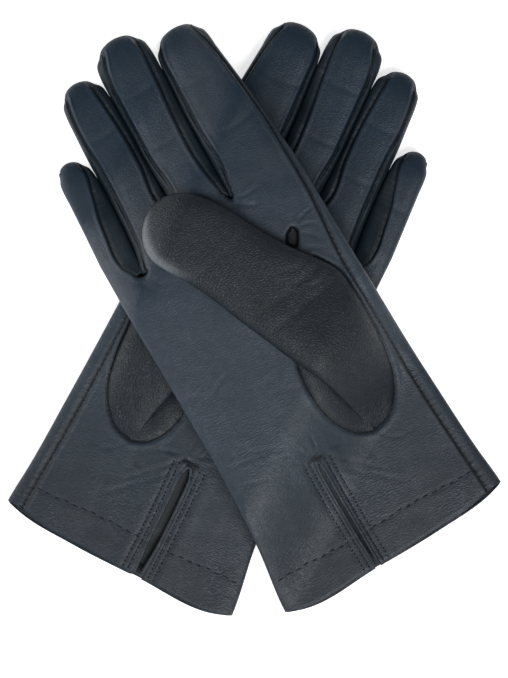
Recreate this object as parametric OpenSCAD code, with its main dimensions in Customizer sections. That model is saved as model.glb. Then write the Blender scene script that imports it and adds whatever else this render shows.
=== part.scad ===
// A pair of leather dress gloves lying crossed, palms up, the right glove over the left one.
// Each glove is drawn in its own frame (u across towards the thumb side, v from the cuff to the
// fingertips, z up from the table) and then placed. The left glove is the mirror of the right.
// Units are millimetres. The table is the plane z = 0.

/* [Leather] */
// thickness of the outer leather
leather = 0.9; // [0.6:0.1:1.4]
// thickness of the knitted lining
lining_thick = 0.55; // [0.3:0.05:1]
// space between the leather and what lies inside it
inner_gap = 0.1; // [0.05:0.05:0.3]

/* [Hand] */
// half the flattened thickness of the palm
palm_half_thick = 4.4; // [3.5:0.1:7]
// half the flattened thickness of the fingers
finger_half_thick = 5.3; // [4:0.1:7]
// height of the hem stitching above the cuff edge
hem_height = 12; // [8:1:20]
// length of the vent slit from the cuff
vent_length = 50; // [30:1:70]
// width of the slit in the lower and the upper glove
vent_gapes = [3.4, 1.6];
// height above the cuff where the middle and ring fingers part
crotch_height = 170; // [150:1:190]

/* [Fingers] */
// per finger: centre at the root, centre at the tip, half width at the root, half width at the tip
index_shape = [31.8, 30.3, 16.6, 12.4];
// middle finger: the same four values
middle_shape = [2.2, 4.9, 11.0, 11.9];
// ring finger: the same four values
ring_shape = [-20.6, -19.4, 10.0, 9.7];
// little finger: the same four values
little_shape = [-41.0, -40.0, 8.5, 7.6];
// heights of the index, middle, ring and little fingertips above the cuff
tip_heights = [245, 254, 245.5, 217];
// heights of the finger hinge lines of the lower glove
lower_hinges = [221, 205, 192, 182];
// heights of the finger hinge lines of the upper glove
upper_hinges = [193, 196, 192, 182];

/* [Thumb] */
// how far the thumb of the lower and of the upper glove leans across the palm, in degrees
thumb_leans = [12, 25];
// half width of the thumb
thumb_half_width = 18.8; // [14:0.2:22]
// half the flattened thickness of the thumb
thumb_half_thick = 4; // [3.5:0.1:6]
// length of the free part of the thumb
thumb_length = 77; // [60:1:90]
// thumb hole: centre across, centre up, half width, half length
thumb_hole = [22, 80, 19.5, 32];

/* [Placing] */
// middle of the cuff of the lower glove, in the shared frame
lower_place = [-58.5, -104.5];
// turn of the lower glove
lower_turn = -26; // [-45:1:0]
// middle of the cuff of the upper glove, in the shared frame
upper_place = [60.7, -99.7];
// turn of the upper glove
upper_turn = 30; // [0:1:45]
// height the upper glove is lifted to where it crosses the lower one
stack_height = 19.2; // [15:0.1:24]
// distance from the lower glove's axis where the upper glove starts to fall, and where it lands
drape_span = [38, 80];

/* [Clearances] */
// width of the gap at each hinge line
hinge_gap = 0.5; // [0.3:0.1:1]
// space between pieces that rest on each other
rest_gap = 0.3; // [0.2:0.05:0.5]

/* [Hidden] */

LOWER = 0;
UPPER = 1;
INDEX = 0;
MIDDLE = 1;
RING = 2;
LITTLE = 3;
finger_shapes = [index_shape, middle_shape, ring_shape, little_shape];
hinges = [lower_hinges, upper_hinges];

// Outline of the flattened hand: [height, position across].
ulnar_line = [[-6, -55.3], [0, -55], [30, -51], [60, -49.2], [100, -49], [170, -49.5]];
radial_line = [[-6, 55.8], [0, 55.6], [20, 53.7], [50, 52], [100, 49.8], [170, 48.4]];
// Cuff edge and finger roots: [fraction across the hand, height].
cuff_line = [[0, -1.5], [0.06, -3.6], [0.4, -4], [0.7, -3.4], [0.94, -1], [1, 0.8]];
crotch_line = [[0, 152], [0.18, 158], [0.29, crotch_height - 2], [0.4, crotch_height],
               [0.53, crotch_height], [0.66, 167], [0.82, 165], [1, 160]];
// Half thickness along the hand and the fingers.
thick_line = [[0, palm_half_thick], [110, palm_half_thick], [crotch_height, 4.8],
              [200, finger_half_thick]];
hand_rows = [0, hem_height, 32, vent_length, 64, 80, 96, 112, 130, 146, 170];
vent_row = 3;
hole_rows = [3, 7];
root_rows = 3;

palm_round = 4;      // superellipse power of the palm's cross-section
back_round = 6;      // the back lies flatter on the table
finger_top_round = 2.6;
finger_back_round = 3.5;
seam_x = 0.93;       // where the gussets meet the finger faces, as a fraction of half the width
side_seam_x = 0.78;  // where the side seam runs on the index finger
tip_round = 16;      // length of the rounded fingertip
tip_flat = 0.42;     // how much of the width stays at the very tip
stitch_size = [2.3, 0.55, 0.35];
stitch_lift = 0.5;   // keeps the stitches clear of the curved leather under them

leather_colour = [0.19, 0.22, 0.26];
gusset_colour = [0.09, 0.11, 0.12];
thumb_colour = [0.2, 0.2, 0.2];
lining_colour = [0.1, 0.1, 0.12];
thread_colour = [0.07, 0.08, 0.1];

// Grid columns of the hand leather, from the side seam across the palm, round the fold on the
// little finger's side, across the back and round to the side seam: [finger, x, side].
palm_columns = concat(
    [for (x = [side_seam_x, 0.45, 0, -0.5, -seam_x]) [INDEX, x, 1]],
    [for (k = [MIDDLE, RING]) for (x = [seam_x, 0.5, 0, -0.5, -seam_x]) [k, x, 1]],
    [for (x = [seam_x, 0.4, -0.3, -0.8, -0.97]) [LITTLE, x, 1]]);
back_columns = concat(
    [[LITTLE, -1, 0]],
    [for (x = [-0.97, -0.8, -0.3, 0.4, seam_x]) [LITTLE, x, -1]],
    [for (k = [RING, MIDDLE]) for (x = [-seam_x, -0.5, 0, 0.5, seam_x]) [k, x, -1]],
    [for (x = [-seam_x, -0.5, 0, 0.5, 0.85, 0.98]) [INDEX, x, -1]],
    [[INDEX, 1, 0], [INDEX, 0.97, 1], [INDEX, side_seam_x + 0.02, 1]]);
columns = concat(palm_columns, back_columns);
hole_columns = [1, 7];

function mix(a, b, t) = a + (b - a) * t;
function limit(t) = max(0, min(1, t));
function smooth(t) = let (c = limit(t)) c * c * (3 - 2 * c);
function oval(x, power) = pow(max(0, 1 - pow(abs(x), power)), 1 / power);

// ---- where the upper glove lies over the lower one ----
function turned(p, angle) = [p.x * cos(angle) - p.y * sin(angle), p.x * sin(angle) + p.y * cos(angle)];
function off_axis(u, v) =
    let (p = turned([u, v], upper_turn) + upper_place - lower_place)
    p.x * cos(lower_turn) + p.y * sin(lower_turn);
function drape(g, u, v) = g == LOWER ? 0 :
    stack_height * (1 - smooth((abs(off_axis(u, v)) - drape_span[0]) / (drape_span[1] - drape_span[0])));
function draped(g, p) = [p.x, p.y, p.z + drape(g, p.x, p.y)];

// ---- the hand ----
function half_thick(v) = lookup(v, thick_line);
function hand_low(v, inset) = lookup(v, ulnar_line) + inset;
function hand_high(v, inset) = lookup(v, radial_line) - inset;
function root_u(k, x) = finger_shapes[k][0] + finger_shapes[k][2] * x;
function fraction(k, x) = (root_u(k, x) - hand_low(170, 0)) / (hand_high(170, 0) - hand_low(170, 0));
function hand_z(u, v, side, inset) =
    let (low = hand_low(v, inset), high = hand_high(v, inset),
         x = (2 * u - low - high) / (high - low), b = half_thick(v))
    b + side * (b - inset) * oval(x, side > 0 ? palm_round : back_round);
function row_v(row, f, last) =
    row == 0 ? lookup(f, cuff_line) : row == last ? lookup(f, crotch_line) : hand_rows[row];

function in_hole_edge(row, c) = row >= hole_rows[0] && row <= hole_rows[1]
    && c >= hole_columns[0] && c <= hole_columns[1];
function hole_point(row, c, inset) =
    let (p = 1 - 2 * (c - hole_columns[0]) / (hole_columns[1] - hole_columns[0]),
         q = 2 * (row - hole_rows[0]) / (hole_rows[1] - hole_rows[0]) - 1)
    [thumb_hole[0] + (thumb_hole[2] + inset) * p * sqrt(1 - q * q / 2),
     thumb_hole[1] + (thumb_hole[3] + inset) * q * sqrt(1 - p * p / 2)];

// The two columns beside the vent stay as far apart as the slit gapes.
function vent_shift(g, c, v) =
    let (k = columns[c][0], x = columns[c][1], beside = columns[c][2] > 0
         && ((k == MIDDLE && x == -seam_x) || (k == RING && x == seam_x)),
         half = mix(vent_gapes[g] / 2, 1.1, smooth((v - vent_length) / 80)))
    beside ? (k == MIDDLE ? half : -half) : 0;
function is_vent(c) = columns[c][2] > 0 && columns[c][0] == MIDDLE && columns[c][1] == -seam_x;
vent_middle = (root_u(MIDDLE, -seam_x) + root_u(RING, seam_x)) / 2;
vent_fraction = (vent_middle - hand_low(170, 0)) / (hand_high(170, 0) - hand_low(170, 0));

function hand_uv(g, row, c, inset) =
    let (f = fraction(columns[c][0], columns[c][1]), v = row_v(row, f, len(hand_rows) - 1),
         low = hand_low(v, inset), high = hand_high(v, inset), shift = vent_shift(g, c, v))
    in_hole_edge(row, c) ? hole_point(row, c, 0) :
    shift != 0 ? [mix(low, high, vent_fraction) + shift, v] : [mix(low, high, f), v];
function between_fingers(c) = c >= 0 && c + 1 < len(columns) && columns[c][0] != columns[c + 1][0];
// Beside a gap between two fingers the inner surface is mitred back, which leaves room for the gusset.
function at_gap(row, c) = row == len(hand_rows) - 1 && (between_fingers(c) || between_fingers(c - 1));
function mitre(c, inset) = [(columns[c][1] > 0 ? -0.45 : 0.45) * inset, -inset];
function hand_point(g, row, c, inset) =
    let (p = at_gap(row, c) ? hand_uv(g, row, c, 0) + mitre(c, inset) : hand_uv(g, row, c, inset))
    [p.x, p.y, hand_z(p.x, p.y, columns[c][2], inset)];

// ---- the fingers ----
function along(k, v) = limit((v - 170) / (tip_heights[k] - tip_round - 170));
function tip_part(k, v, inset) = limit((v - tip_heights[k] + tip_round) / (tip_round - inset));
function finger_half(k, v, inset) =
    (mix(finger_shapes[k][2], finger_shapes[k][3], along(k, v)) - inset)
    * mix(tip_flat, 1, oval(tip_part(k, v, inset), 2.2));
function finger_point(k, x, side, v, inset) =
    let (b = half_thick(v), t = tip_part(k, v, inset))
    [mix(finger_shapes[k][0], finger_shapes[k][1], along(k, v)) + finger_half(k, v, inset) * x, v,
     b + side * (b - inset) * oval(t, 2) * oval(x, side > 0 ? finger_top_round : finger_back_round)];

// A point of the finger root between the crotch line and the hinge line.
function root_point(g, r, c, inset) =
    let (k = columns[c][0], x = columns[c][1], side = columns[c][2],
         base = hand_point(g, len(hand_rows) - 1, c, inset),
         v = mix(base.y, hinges[g][k] - hinge_gap / 2, r / root_rows),
         tube = finger_point(k, x, side, v, inset))
    [mix(base.x, tube.x, smooth(r / root_rows)), v, mix(base.z, tube.z, smooth(r / root_rows))];

// ---- sheets of leather: a grid of cells between an outer and an inner surface ----
module sheet(outer, inner, present = function(r, c) true, closed = false, capped = false) {
    rows = len(outer);
    cols = len(outer[0]);
    cell_cols = closed ? cols : cols - 1;
    total = rows * cols;
    at = function(r, c) r * cols + (c % cols);
    has = function(r, c) let (w = closed ? (c + cell_cols) % cell_cols : c)
        r >= 0 && r < rows - 1 && w >= 0 && w < cell_cols && present(r, w);
    wall = function(a, b) [[b, a, total + a], [b, total + a, total + b]];
    faces = [for (r = [0:rows - 2]) for (c = [0:cell_cols - 1]) if (present(r, c))
        let (p = at(r, c), q = at(r, c + 1), s = at(r + 1, c + 1), t = at(r + 1, c))
        each concat(
            [[p, q, s], [p, s, t], [total + s, total + q, total + p], [total + t, total + s, total + p]],
            has(r - 1, c) ? [] : wall(p, q),
            has(r, c + 1) ? [] : wall(q, s),
            has(r + 1, c) || (capped && r == rows - 2) ? [] : wall(s, t),
            has(r, c - 1) ? [] : wall(t, p))];
    caps = !capped ? [] : [for (c = [1:cols - 2]) let (a = at(rows - 1, 0), b = at(rows - 1, c),
        d = at(rows - 1, c + 1)) each [[a, b, d], [total + d, total + b, total + a]]];
    polyhedron(points = concat([for (row = outer) each row], [for (row = inner) each row]),
               faces = concat(faces, caps), convexity = 6);
}

module place(g) {
    if (g == UPPER)
        translate([upper_place.x, upper_place.y, 0]) rotate([0, 0, upper_turn]) children();
    else
        translate([lower_place.x, lower_place.y, 0]) rotate([0, 0, lower_turn]) mirror([1, 0, 0]) children();
}

// A whole layer of the hand: palm, back and finger roots in one piece.
function comb(g, inset, first = 0) = concat(
    [for (row = [first:len(hand_rows) - 1]) [for (c = [0:len(columns) - 1]) draped(g, hand_point(g, row, c, inset))]],
    [for (r = [1:root_rows]) [for (c = [0:len(columns) - 1]) draped(g, root_point(g, r, c, inset))]]);
function in_hole(row, c) = row >= hole_rows[0] && row < hole_rows[1]
    && c >= hole_columns[0] && c < hole_columns[1];
function comb_cell(row, c) = !(row >= len(hand_rows) - 1 && between_fingers(c))
    && !in_hole(row, c) && !(row < vent_row && is_vent(c));

module hand_leather(g) {
    color(leather_colour) place(g)
        sheet(comb(g, 0), comb(g, leather), function(r, c) comb_cell(r, c));
}

module hand_lining(g) {
    inset = leather + inner_gap;
    color(lining_colour) place(g)
        sheet(lifted(comb(g, inset, 1)), lifted(comb(g, inset + lining_thick, 1)),
              function(r, c) comb_cell(r + 1, c));
}

// Starts a layer a little above its first row, clear of the facing below it.
lining_start = 0.06;
function lifted(rows) = concat(
    [[for (c = [0:len(rows[0]) - 1]) mix(rows[0][c], rows[1][c], lining_start)]],
    [for (r = [1:len(rows) - 1]) rows[r]]);

// The turned-in hem: a band inside the cuff, open at the vent.
module cuff_facing(g) {
    inset = leather + inner_gap;
    band = function(i) [for (row = [0, 1]) [for (c = [0:len(columns) - 1]) draped(g, hand_point(g, row, c, i))]];
    color(leather_colour) place(g)
        sheet(band(inset), band(inset + lining_thick), function(r, c) !is_vent(c));
}

// ---- stitches and bindings that lie on the palm's facets ----
function facet_row(v) = max([for (i = [0:len(hand_rows) - 2]) if (i == 0 || hand_rows[i] <= v) i]);
function on_palm(g, u, v, above) =
    let (i = facet_row(v), low = i == 0 ? -4 : hand_rows[i], high = hand_rows[i + 1],
         t = limit((v - low) / (high - low)),
         z0 = hand_z(u, low, 1, 0) + drape(g, u, low), z1 = hand_z(u, high, 1, 0) + drape(g, u, high))
    [u, v, mix(z0, z1, t) + above];

module stitch(g, u, v, angle) {
    length = stitch_size[0] / 2;
    width = stitch_size[1] / 2;
    corner = function(i) let (p = turned([i == 0 || i == 3 ? -length : length, i < 2 ? -width : width], angle))
        [u + p.x, v + p.y];
    low = [for (i = [0:3]) let (p = corner(i)) on_palm(g, p.x, p.y, stitch_lift)];
    polyhedron(points = concat(low, [for (p = low) p + [0, 0, stitch_size[2]]]),
               faces = [[0, 1, 2], [0, 2, 3], [6, 5, 4], [7, 6, 4], [1, 0, 4], [1, 4, 5], [2, 1, 5],
                        [2, 5, 6], [3, 2, 6], [3, 6, 7], [0, 3, 7], [0, 7, 4]]);
}

module hem_stitching(g) {
    pitch = 4.4;
    color(thread_colour) place(g)
        for (i = [-10:10]) if (abs(i * pitch - vent_u(hem_height)) > 11)
            stitch(g, i * pitch, hem_height - 1, 0);
}

function vent_u(v) = mix(hand_low(v, 0), hand_high(v, 0), vent_fraction);
binding_width = 4;
binding_lift = 0.35;  // keeps the binding clear of the curved leather under it

// One strip folded over each edge of the vent.
module vent_binding(g) {
    half = vent_gapes[g] / 2 + 0.15;
    heights = [-3.4, hem_height, 32, vent_length];
    strip = function(from, to, above)
        [for (v = heights) [for (e = [from, (from + to) / 2, to]) on_palm(g, vent_u(v) + e, v, above)]];
    color(leather_colour) place(g) {
        sheet(strip(-half, -half - binding_width, binding_lift + 0.4),
              strip(-half, -half - binding_width, binding_lift));
        sheet(strip(half + binding_width, half, binding_lift + 0.4),
              strip(half + binding_width, half, binding_lift));
    }
}

// Two rows of stitches outside each binding strip.
module vent_stitching(g) {
    pitch = 4;
    out = vent_gapes[g] / 2 + binding_width + 0.8;
    color(thread_colour) place(g)
        for (v = [2:pitch:vent_length - 2]) for (side = [-1, 1]) for (step = [0, 1.8])
            stitch(g, vent_u(v) + side * (out + step), v, 90);
}

// Thread along the side seam, on the palm next to the fold of the back leather.
module side_seam_stitching(g) {
    pitch = 8;
    seam = fraction(INDEX, side_seam_x);
    color(thread_colour) place(g)
        for (v = [6:pitch:140])
            stitch(g, mix(hand_low(v, 0), hand_high(v, 0), seam) - 1.6, v, 90);
}

// ---- gussets: the strips between the fingers ----
gusset_edge = 0.05;  // keeps the gusset just clear of the finger faces

function gusset_row(top, middle, bottom) =
    [mix(top, middle, gusset_edge), middle, mix(bottom, middle, gusset_edge)];
function column_of(k, x, side) = [for (c = [0:len(columns) - 1]) if (columns[c] == [k, x, side]) c][0];

// One row of the gusset between two fingers: its upper edge, middle and lower edge at root row r,
// on the side of finger k where x points.
function web_point(g, r, k, x, side, inset) =
    let (c = column_of(k, x, side))
    r == 0 ? hand_point(g, len(hand_rows) - 1, c, inset) : root_point(g, r, c, inset);
function web_row(g, r, k, x, inset) =
    let (toward = x > 0 ? 1 : -1, top = web_point(g, r, k, x, 1, inset), low = web_point(g, r, k, x, -1, inset),
         bulge = toward * finger_shapes[k][2] * (1 - seam_x) * 0.8 * r / root_rows)
    gusset_row(top, [top.x + bulge, top.y, (top.z + low.z) / 2], low);
function drop_row(g, row) = [for (p = row) draped(g, p)];

module root_gusset(g, k) {
    steps = [for (r = [root_rows:-1:0]) [r, k + 1, seam_x], for (r = [0:root_rows]) [r, k, -seam_x]];
    color(gusset_colour) place(g)
        sheet([for (s = steps) drop_row(g, web_row(g, s[0], s[1], s[2], 0))],
              [for (s = steps) drop_row(g, web_row(g, s[0], s[1], s[2], leather))]);
}

// ---- finger ends beyond the hinge lines ----
function finger_rows(g, k) =
    let (start = hinges[g][k] + hinge_gap / 2, end = tip_heights[k], shoulder = end - tip_round)
    concat([for (t = [0, 0.34, 0.67, 1]) mix(start, shoulder, t)], [end - 10, end - 5.5, end - 2.2, end]);
function inset_v(g, k, v, inset) =
    let (start = hinges[g][k] + hinge_gap / 2, end = tip_heights[k])
    mix(start, end - inset, (v - start) / (end - start));
function seam_at(k, v) = mix(seam_x, 1, smooth((v - tip_heights[k] + 9) / 6.4));

// Positions across the palm face and across the back face of finger k, at height v.
function face_columns(k, side, v) =
    let (s = seam_at(k, v))
    k == INDEX && side > 0 ?
        [[side_seam_x, 1], [0.6, 1], [0.35, 1], [0.05, 1], [-0.25, 1], [-0.5, 1], [-0.75, 1], [-s, 1]] :
    k == INDEX ?
        [[side_seam_x + 0.02, 1], [0.97, 1], [1, 0], [0.96, -1], [0.8, -1], [0.3, -1], [-0.4, -1], [-s, -1]] :
    [for (x = [s, 0.75, 0.3, -0.3, -0.75, -s]) [x, side]];
edge_gap = 0.06;
function near_tip(k, v) = v > tip_heights[k] - 3;
function face_row(g, k, side, v, inset) =
    [for (e = face_columns(k, side, v))
        let (p = finger_point(k, e[0], e[1], inset_v(g, k, v, inset), inset),
             lift = v == tip_heights[k] || !near_tip(k, v) ? 0 : side * edge_gap)
        draped(g, [p.x, p.y, p.z + lift])];
function clamshell(g, k, inset) =
    let (rows = finger_rows(g, k), last = len(rows) - 1)
    concat([for (i = [0:last]) face_row(g, k, 1, rows[i], inset)],
           [for (i = [last - 1:-1:0]) face_row(g, k, -1, rows[i], inset)]);

// The little finger's palm and back faces are one sheet folded round its outer side.
little_fold = [[seam_x, 1], [0.5, 1], [0, 1], [-0.6, 1], [-0.92, 1], [-1, 0],
               [-0.92, -1], [-0.6, -1], [0, -1], [0.5, -1], [seam_x, -1]];
function fold_row(g, v, inset) =
    [for (e = little_fold)
        let (x = e[0] == seam_x ? seam_at(LITTLE, v) : e[0],
             p = finger_point(LITTLE, x, e[1], inset_v(g, LITTLE, v, inset), inset),
             open = v == tip_heights[LITTLE] ? -0.06 * (1 - abs(x)) : 0)
        draped(g, [p.x + (e[1] == 0 && v == tip_heights[LITTLE] ? -0.3 : 0), p.y + open,
                   p.z + e[1] * edge_gap])];

module finger(g, k) {
    color(leather_colour) place(g)
        if (k == LITTLE)
            sheet([for (v = finger_rows(g, k)) fold_row(g, v, 0)],
                  [for (v = finger_rows(g, k)) fold_row(g, v, leather)]);
        else
            sheet(clamshell(g, k, 0), clamshell(g, k, leather));
}

// A side strip from the hinge line to just short of the fingertip; toward is +1 on the thumb side.
function strip_row(g, k, toward, v, inset) =
    let (w = inset_v(g, k, v, inset), s = seam_at(k, v),
         top = finger_point(k, toward * s, 1, w, inset), low = finger_point(k, toward * s, -1, w, inset),
         mid = finger_point(k, toward, 0, w, inset),
         row = [for (p = gusset_row(top, mid, low)) draped(g, p)])
    toward > 0 ? row : [row[2], row[1], row[0]];
function strip_rows(g, k, toward, inset) =
    let (v = finger_rows(g, k), body = [for (i = [0:5]) strip_row(g, k, toward, v[i], inset)],
         next = strip_row(g, k, toward, v[6], inset))
    concat(body, [[for (i = [0:2]) mix(body[5][i], next[i], 0.6)]]);

module finger_gussets(g, k) {
    sides = k == INDEX ? [-1] : k == LITTLE ? [1] : [-1, 1];
    color(gusset_colour) place(g)
        for (toward = sides)
            sheet(flipped(strip_rows(g, k, toward, 0)), flipped(strip_rows(g, k, toward, leather)));
}
function flipped(rows) = [for (row = rows) [for (i = [len(row) - 1:-1:0]) row[i]]];

ring_x = [[0.5, 1], [-0.1, 1], [-0.6, 1], [-1, 0], [-0.6, -1], [-0.1, -1], [0.5, -1], [1, 0]];
function lining_row(g, k, v, inset) =
    [for (e = ring_x) draped(g, finger_point(k, e[0], e[1], inset_v(g, k, v, inset), inset))];

module finger_lining(g, k) {
    inset = leather + inner_gap + 0.8;
    rows = [for (i = [0, 1, 2, 3, 4, 5]) finger_rows(g, k)[i]];
    color(lining_colour) place(g)
        sheet([for (v = rows) lining_row(g, k, v, inset)],
              [for (i = [0:len(rows) - 1])
                  lining_row(g, k, rows[i] - (i == 5 ? lining_thick : 0), inset + lining_thick)],
              closed = true, capped = true);
}

// ---- the thumb ----
thumb_root = [27, 83.5];     // where the thumb's own frame starts
thumb_hinge = 30;            // distance of the thumb's hinge line from there
thumb_count = 20;
function thumb_uv(g, x, y) = thumb_root + turned([x, y], thumb_leans[g]);
function thumb_floor(y) = 2 * mix(palm_half_thick, 5.15, limit((y - thumb_hinge) / thumb_length)) + rest_gap;
function thumb_ring(g, y, half, t, inset, squash) =
    let (p = thumb_uv(g, (half - inset) * cos(t), y), b = thumb_half_thick,
         z = thumb_floor(y) + b + (b - inset) * squash * sin(t))
    draped(g, [p.x, p.y, z]);
thumb_end = thumb_hinge + thumb_length;
function thumb_tip_part(y, inset) = limit((y - thumb_end + 22) / (22 - inset));
function thumb_section(g, y, inset) =
    let (end = thumb_tip_part(y, inset), half = thumb_half_width * mix(0.35, 1, oval(end, 2.2)))
    [for (i = [0:thumb_count - 1]) let (t = 360 * i / thumb_count,
        squared = t + 12 * sin(2 * t))
        thumb_ring(g, y, half, squared, inset, max(0.12, oval(end, 2)))];
thumb_steps = [0, 0.3, 0.55, 0.72, 0.83, 0.91, 0.97, 1];
function thumb_rows(g, inset) =
    [for (s = thumb_steps) thumb_section(g, thumb_hinge + hinge_gap / 2
        + (thumb_length - hinge_gap / 2 - inset) * s, inset)];

module thumb(g) {
    color(thumb_colour) place(g)
        sheet(thumb_rows(g, 0), thumb_rows(g, leather), closed = true, capped = true);
}

module thumb_lining(g) {
    inset = leather + inner_gap;
    color(lining_colour) place(g)
        sheet(thumb_rows(g, inset), thumb_rows(g, inset + lining_thick), closed = true, capped = true);
}

// The fixed part of the thumb rises straight out of the thumb hole and then leans to the hinge line.
hole_rim = 0.25;
function base_point(g, w, i, inset) =
    let (t = 360 * i / thumb_count, squared = t + 12 * sin(2 * t), b = thumb_half_thick,
         o = [thumb_hole[0] + (thumb_hole[2] - hole_rim - inset) * cos(-t),
              thumb_hole[1] + (thumb_hole[3] - hole_rim - inset) * sin(-t)],
         palm = hand_z(o.x, o.y, 1, 0), lean = max(w, 0),
         h = thumb_uv(g, (thumb_half_width - inset) * cos(squared), thumb_hinge - hinge_gap / 2),
         h_z = thumb_floor(thumb_hinge) + b + (b - inset) * sin(squared),
         rise = mix(lean, sin(90 * lean), limit(sin(squared))))
    [mix(o.x, h.x, lean), mix(o.y, h.y, lean),
     w < 0 ? palm - leather : mix(palm + rest_gap, h_z, rise)];
base_steps = [-1, 0, 0.12, 0.3, 0.55, 0.8, 1];  // -1 is the lower rim, inside the hole
module thumb_base(g) {
    rows = function(inset) [for (w = base_steps)
        [for (i = [0:thumb_count - 1]) draped(g, base_point(g, w, i, inset))]];
    color(thumb_colour) place(g) sheet(rows(0), rows(leather), closed = true);
}

// The small pointed piece let into the palm beside the thumb.
module thumb_quirk(g) {
    corners = [[30, 134], [28.5, 139.5], [33.5, 143]];
    low = [for (p = corners) on_palm(g, p.x, p.y, rest_gap / 2)];
    color(leather_colour) place(g)
        polyhedron(points = concat(low, [for (p = low) p + [0, 0, 0.45]]),
                   faces = [[0, 2, 1], [3, 4, 5], [0, 1, 4], [0, 4, 3], [1, 2, 5], [1, 5, 4],
                            [2, 0, 3], [2, 3, 5]]);
}

hand_leather(LOWER);  // left_hand_leather
hand_lining(LOWER);  // left_hand_lining
cuff_facing(LOWER);  // left_cuff_facing
hem_stitching(LOWER);  // left_hem_stitching
vent_binding(LOWER);  // left_vent_binding
vent_stitching(LOWER);  // left_vent_stitching
side_seam_stitching(LOWER);  // left_side_seam_stitching
root_gusset(LOWER, INDEX);  // left_index_middle_gusset
root_gusset(LOWER, MIDDLE);  // left_middle_ring_gusset
root_gusset(LOWER, RING);  // left_ring_little_gusset
thumb_base(LOWER);  // left_thumb_base
thumb(LOWER);  // left_thumb
thumb_lining(LOWER);  // left_thumb_lining
thumb_quirk(LOWER);  // left_thumb_quirk
finger(LOWER, INDEX);  // left_index_finger
finger_gussets(LOWER, INDEX);  // left_index_gusset
finger_lining(LOWER, INDEX);  // left_index_lining
finger(LOWER, MIDDLE);  // left_middle_finger
finger_gussets(LOWER, MIDDLE);  // left_middle_gussets
finger_lining(LOWER, MIDDLE);  // left_middle_lining
finger(LOWER, RING);  // left_ring_finger
finger_gussets(LOWER, RING);  // left_ring_gussets
finger_lining(LOWER, RING);  // left_ring_lining
finger(LOWER, LITTLE);  // left_little_finger
finger_gussets(LOWER, LITTLE);  // left_little_gusset
finger_lining(LOWER, LITTLE);  // left_little_lining
hand_leather(UPPER);  // right_hand_leather
hand_lining(UPPER);  // right_hand_lining
cuff_facing(UPPER);  // right_cuff_facing
hem_stitching(UPPER);  // right_hem_stitching
vent_binding(UPPER);  // right_vent_binding
vent_stitching(UPPER);  // right_vent_stitching
side_seam_stitching(UPPER);  // right_side_seam_stitching
root_gusset(UPPER, INDEX);  // right_index_middle_gusset
root_gusset(UPPER, MIDDLE);  // right_middle_ring_gusset
root_gusset(UPPER, RING);  // right_ring_little_gusset
thumb_base(UPPER);  // right_thumb_base
thumb(UPPER);  // right_thumb
thumb_lining(UPPER);  // right_thumb_lining
thumb_quirk(UPPER);  // right_thumb_quirk
finger(UPPER, INDEX);  // right_index_finger
finger_gussets(UPPER, INDEX);  // right_index_gusset
finger_lining(UPPER, INDEX);  // right_index_lining
finger(UPPER, MIDDLE);  // right_middle_finger
finger_gussets(UPPER, MIDDLE);  // right_middle_gussets
finger_lining(UPPER, MIDDLE);  // right_middle_lining
finger(UPPER, RING);  // right_ring_finger
finger_gussets(UPPER, RING);  // right_ring_gussets
finger_lining(UPPER, RING);  // right_ring_lining
finger(UPPER, LITTLE);  // right_little_finger
finger_gussets(UPPER, LITTLE);  // right_little_gusset
finger_lining(UPPER, LITTLE);  // right_little_lining
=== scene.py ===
"""A pair of navy leather dress gloves, lying crossed with their palms up, seen from above.

Every glove is worked out in its own frame, in millimetres: u across the hand towards the thumb,
v from the cuff to the fingertips, z up from the table. place() moves it into the shared frame.
"""

import math

import bpy
import numpy as np
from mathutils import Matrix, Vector


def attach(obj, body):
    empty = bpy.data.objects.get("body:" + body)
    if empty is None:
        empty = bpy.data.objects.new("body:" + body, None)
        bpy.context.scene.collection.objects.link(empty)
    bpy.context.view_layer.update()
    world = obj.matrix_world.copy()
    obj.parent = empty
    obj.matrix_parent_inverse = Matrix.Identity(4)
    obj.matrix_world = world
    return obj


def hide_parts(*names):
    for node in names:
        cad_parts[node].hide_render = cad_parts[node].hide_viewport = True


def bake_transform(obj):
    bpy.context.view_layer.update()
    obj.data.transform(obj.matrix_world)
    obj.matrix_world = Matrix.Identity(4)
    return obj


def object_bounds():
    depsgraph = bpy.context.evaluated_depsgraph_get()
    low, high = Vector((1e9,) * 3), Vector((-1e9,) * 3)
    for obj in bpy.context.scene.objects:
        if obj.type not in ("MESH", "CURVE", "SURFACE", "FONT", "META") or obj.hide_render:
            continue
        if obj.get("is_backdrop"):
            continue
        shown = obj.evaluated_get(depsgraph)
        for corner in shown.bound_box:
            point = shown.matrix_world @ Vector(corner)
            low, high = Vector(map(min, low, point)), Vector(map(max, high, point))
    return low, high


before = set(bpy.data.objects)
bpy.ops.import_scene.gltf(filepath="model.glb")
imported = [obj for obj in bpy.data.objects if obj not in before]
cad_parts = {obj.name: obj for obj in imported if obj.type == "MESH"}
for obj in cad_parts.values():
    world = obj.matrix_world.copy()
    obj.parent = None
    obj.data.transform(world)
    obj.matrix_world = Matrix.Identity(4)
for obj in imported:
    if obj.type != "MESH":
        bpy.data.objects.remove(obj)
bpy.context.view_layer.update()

# ---------------------------------------------------------------- driving dimensions, in mm

LEATHER = 0.9
INNER_GAP = 0.1
FINGERS = ("index", "middle", "ring", "little")
INDEX, MIDDLE, RING, LITTLE = range(4)

# Each finger: centre at the root and at the tip, half width at the root and at the tip, tip height.
SHAPES = (
    (31.8, 30.3, 16.6, 12.4, 245.0),
    (2.2, 4.9, 11.0, 11.9, 254.0),
    (-20.6, -19.4, 10.0, 9.7, 245.5),
    (-41.0, -40.0, 8.5, 7.6, 217.0),
)
ROOT_V = 170.0
TIP_ROUND = 16.0
TIP_FLAT = 0.42
TIP_DOME = 3.2    # how far the corners of a fingertip lie back from its middle
FACE_POWER = 3.0
BACK_POWER = 3.5

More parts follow.
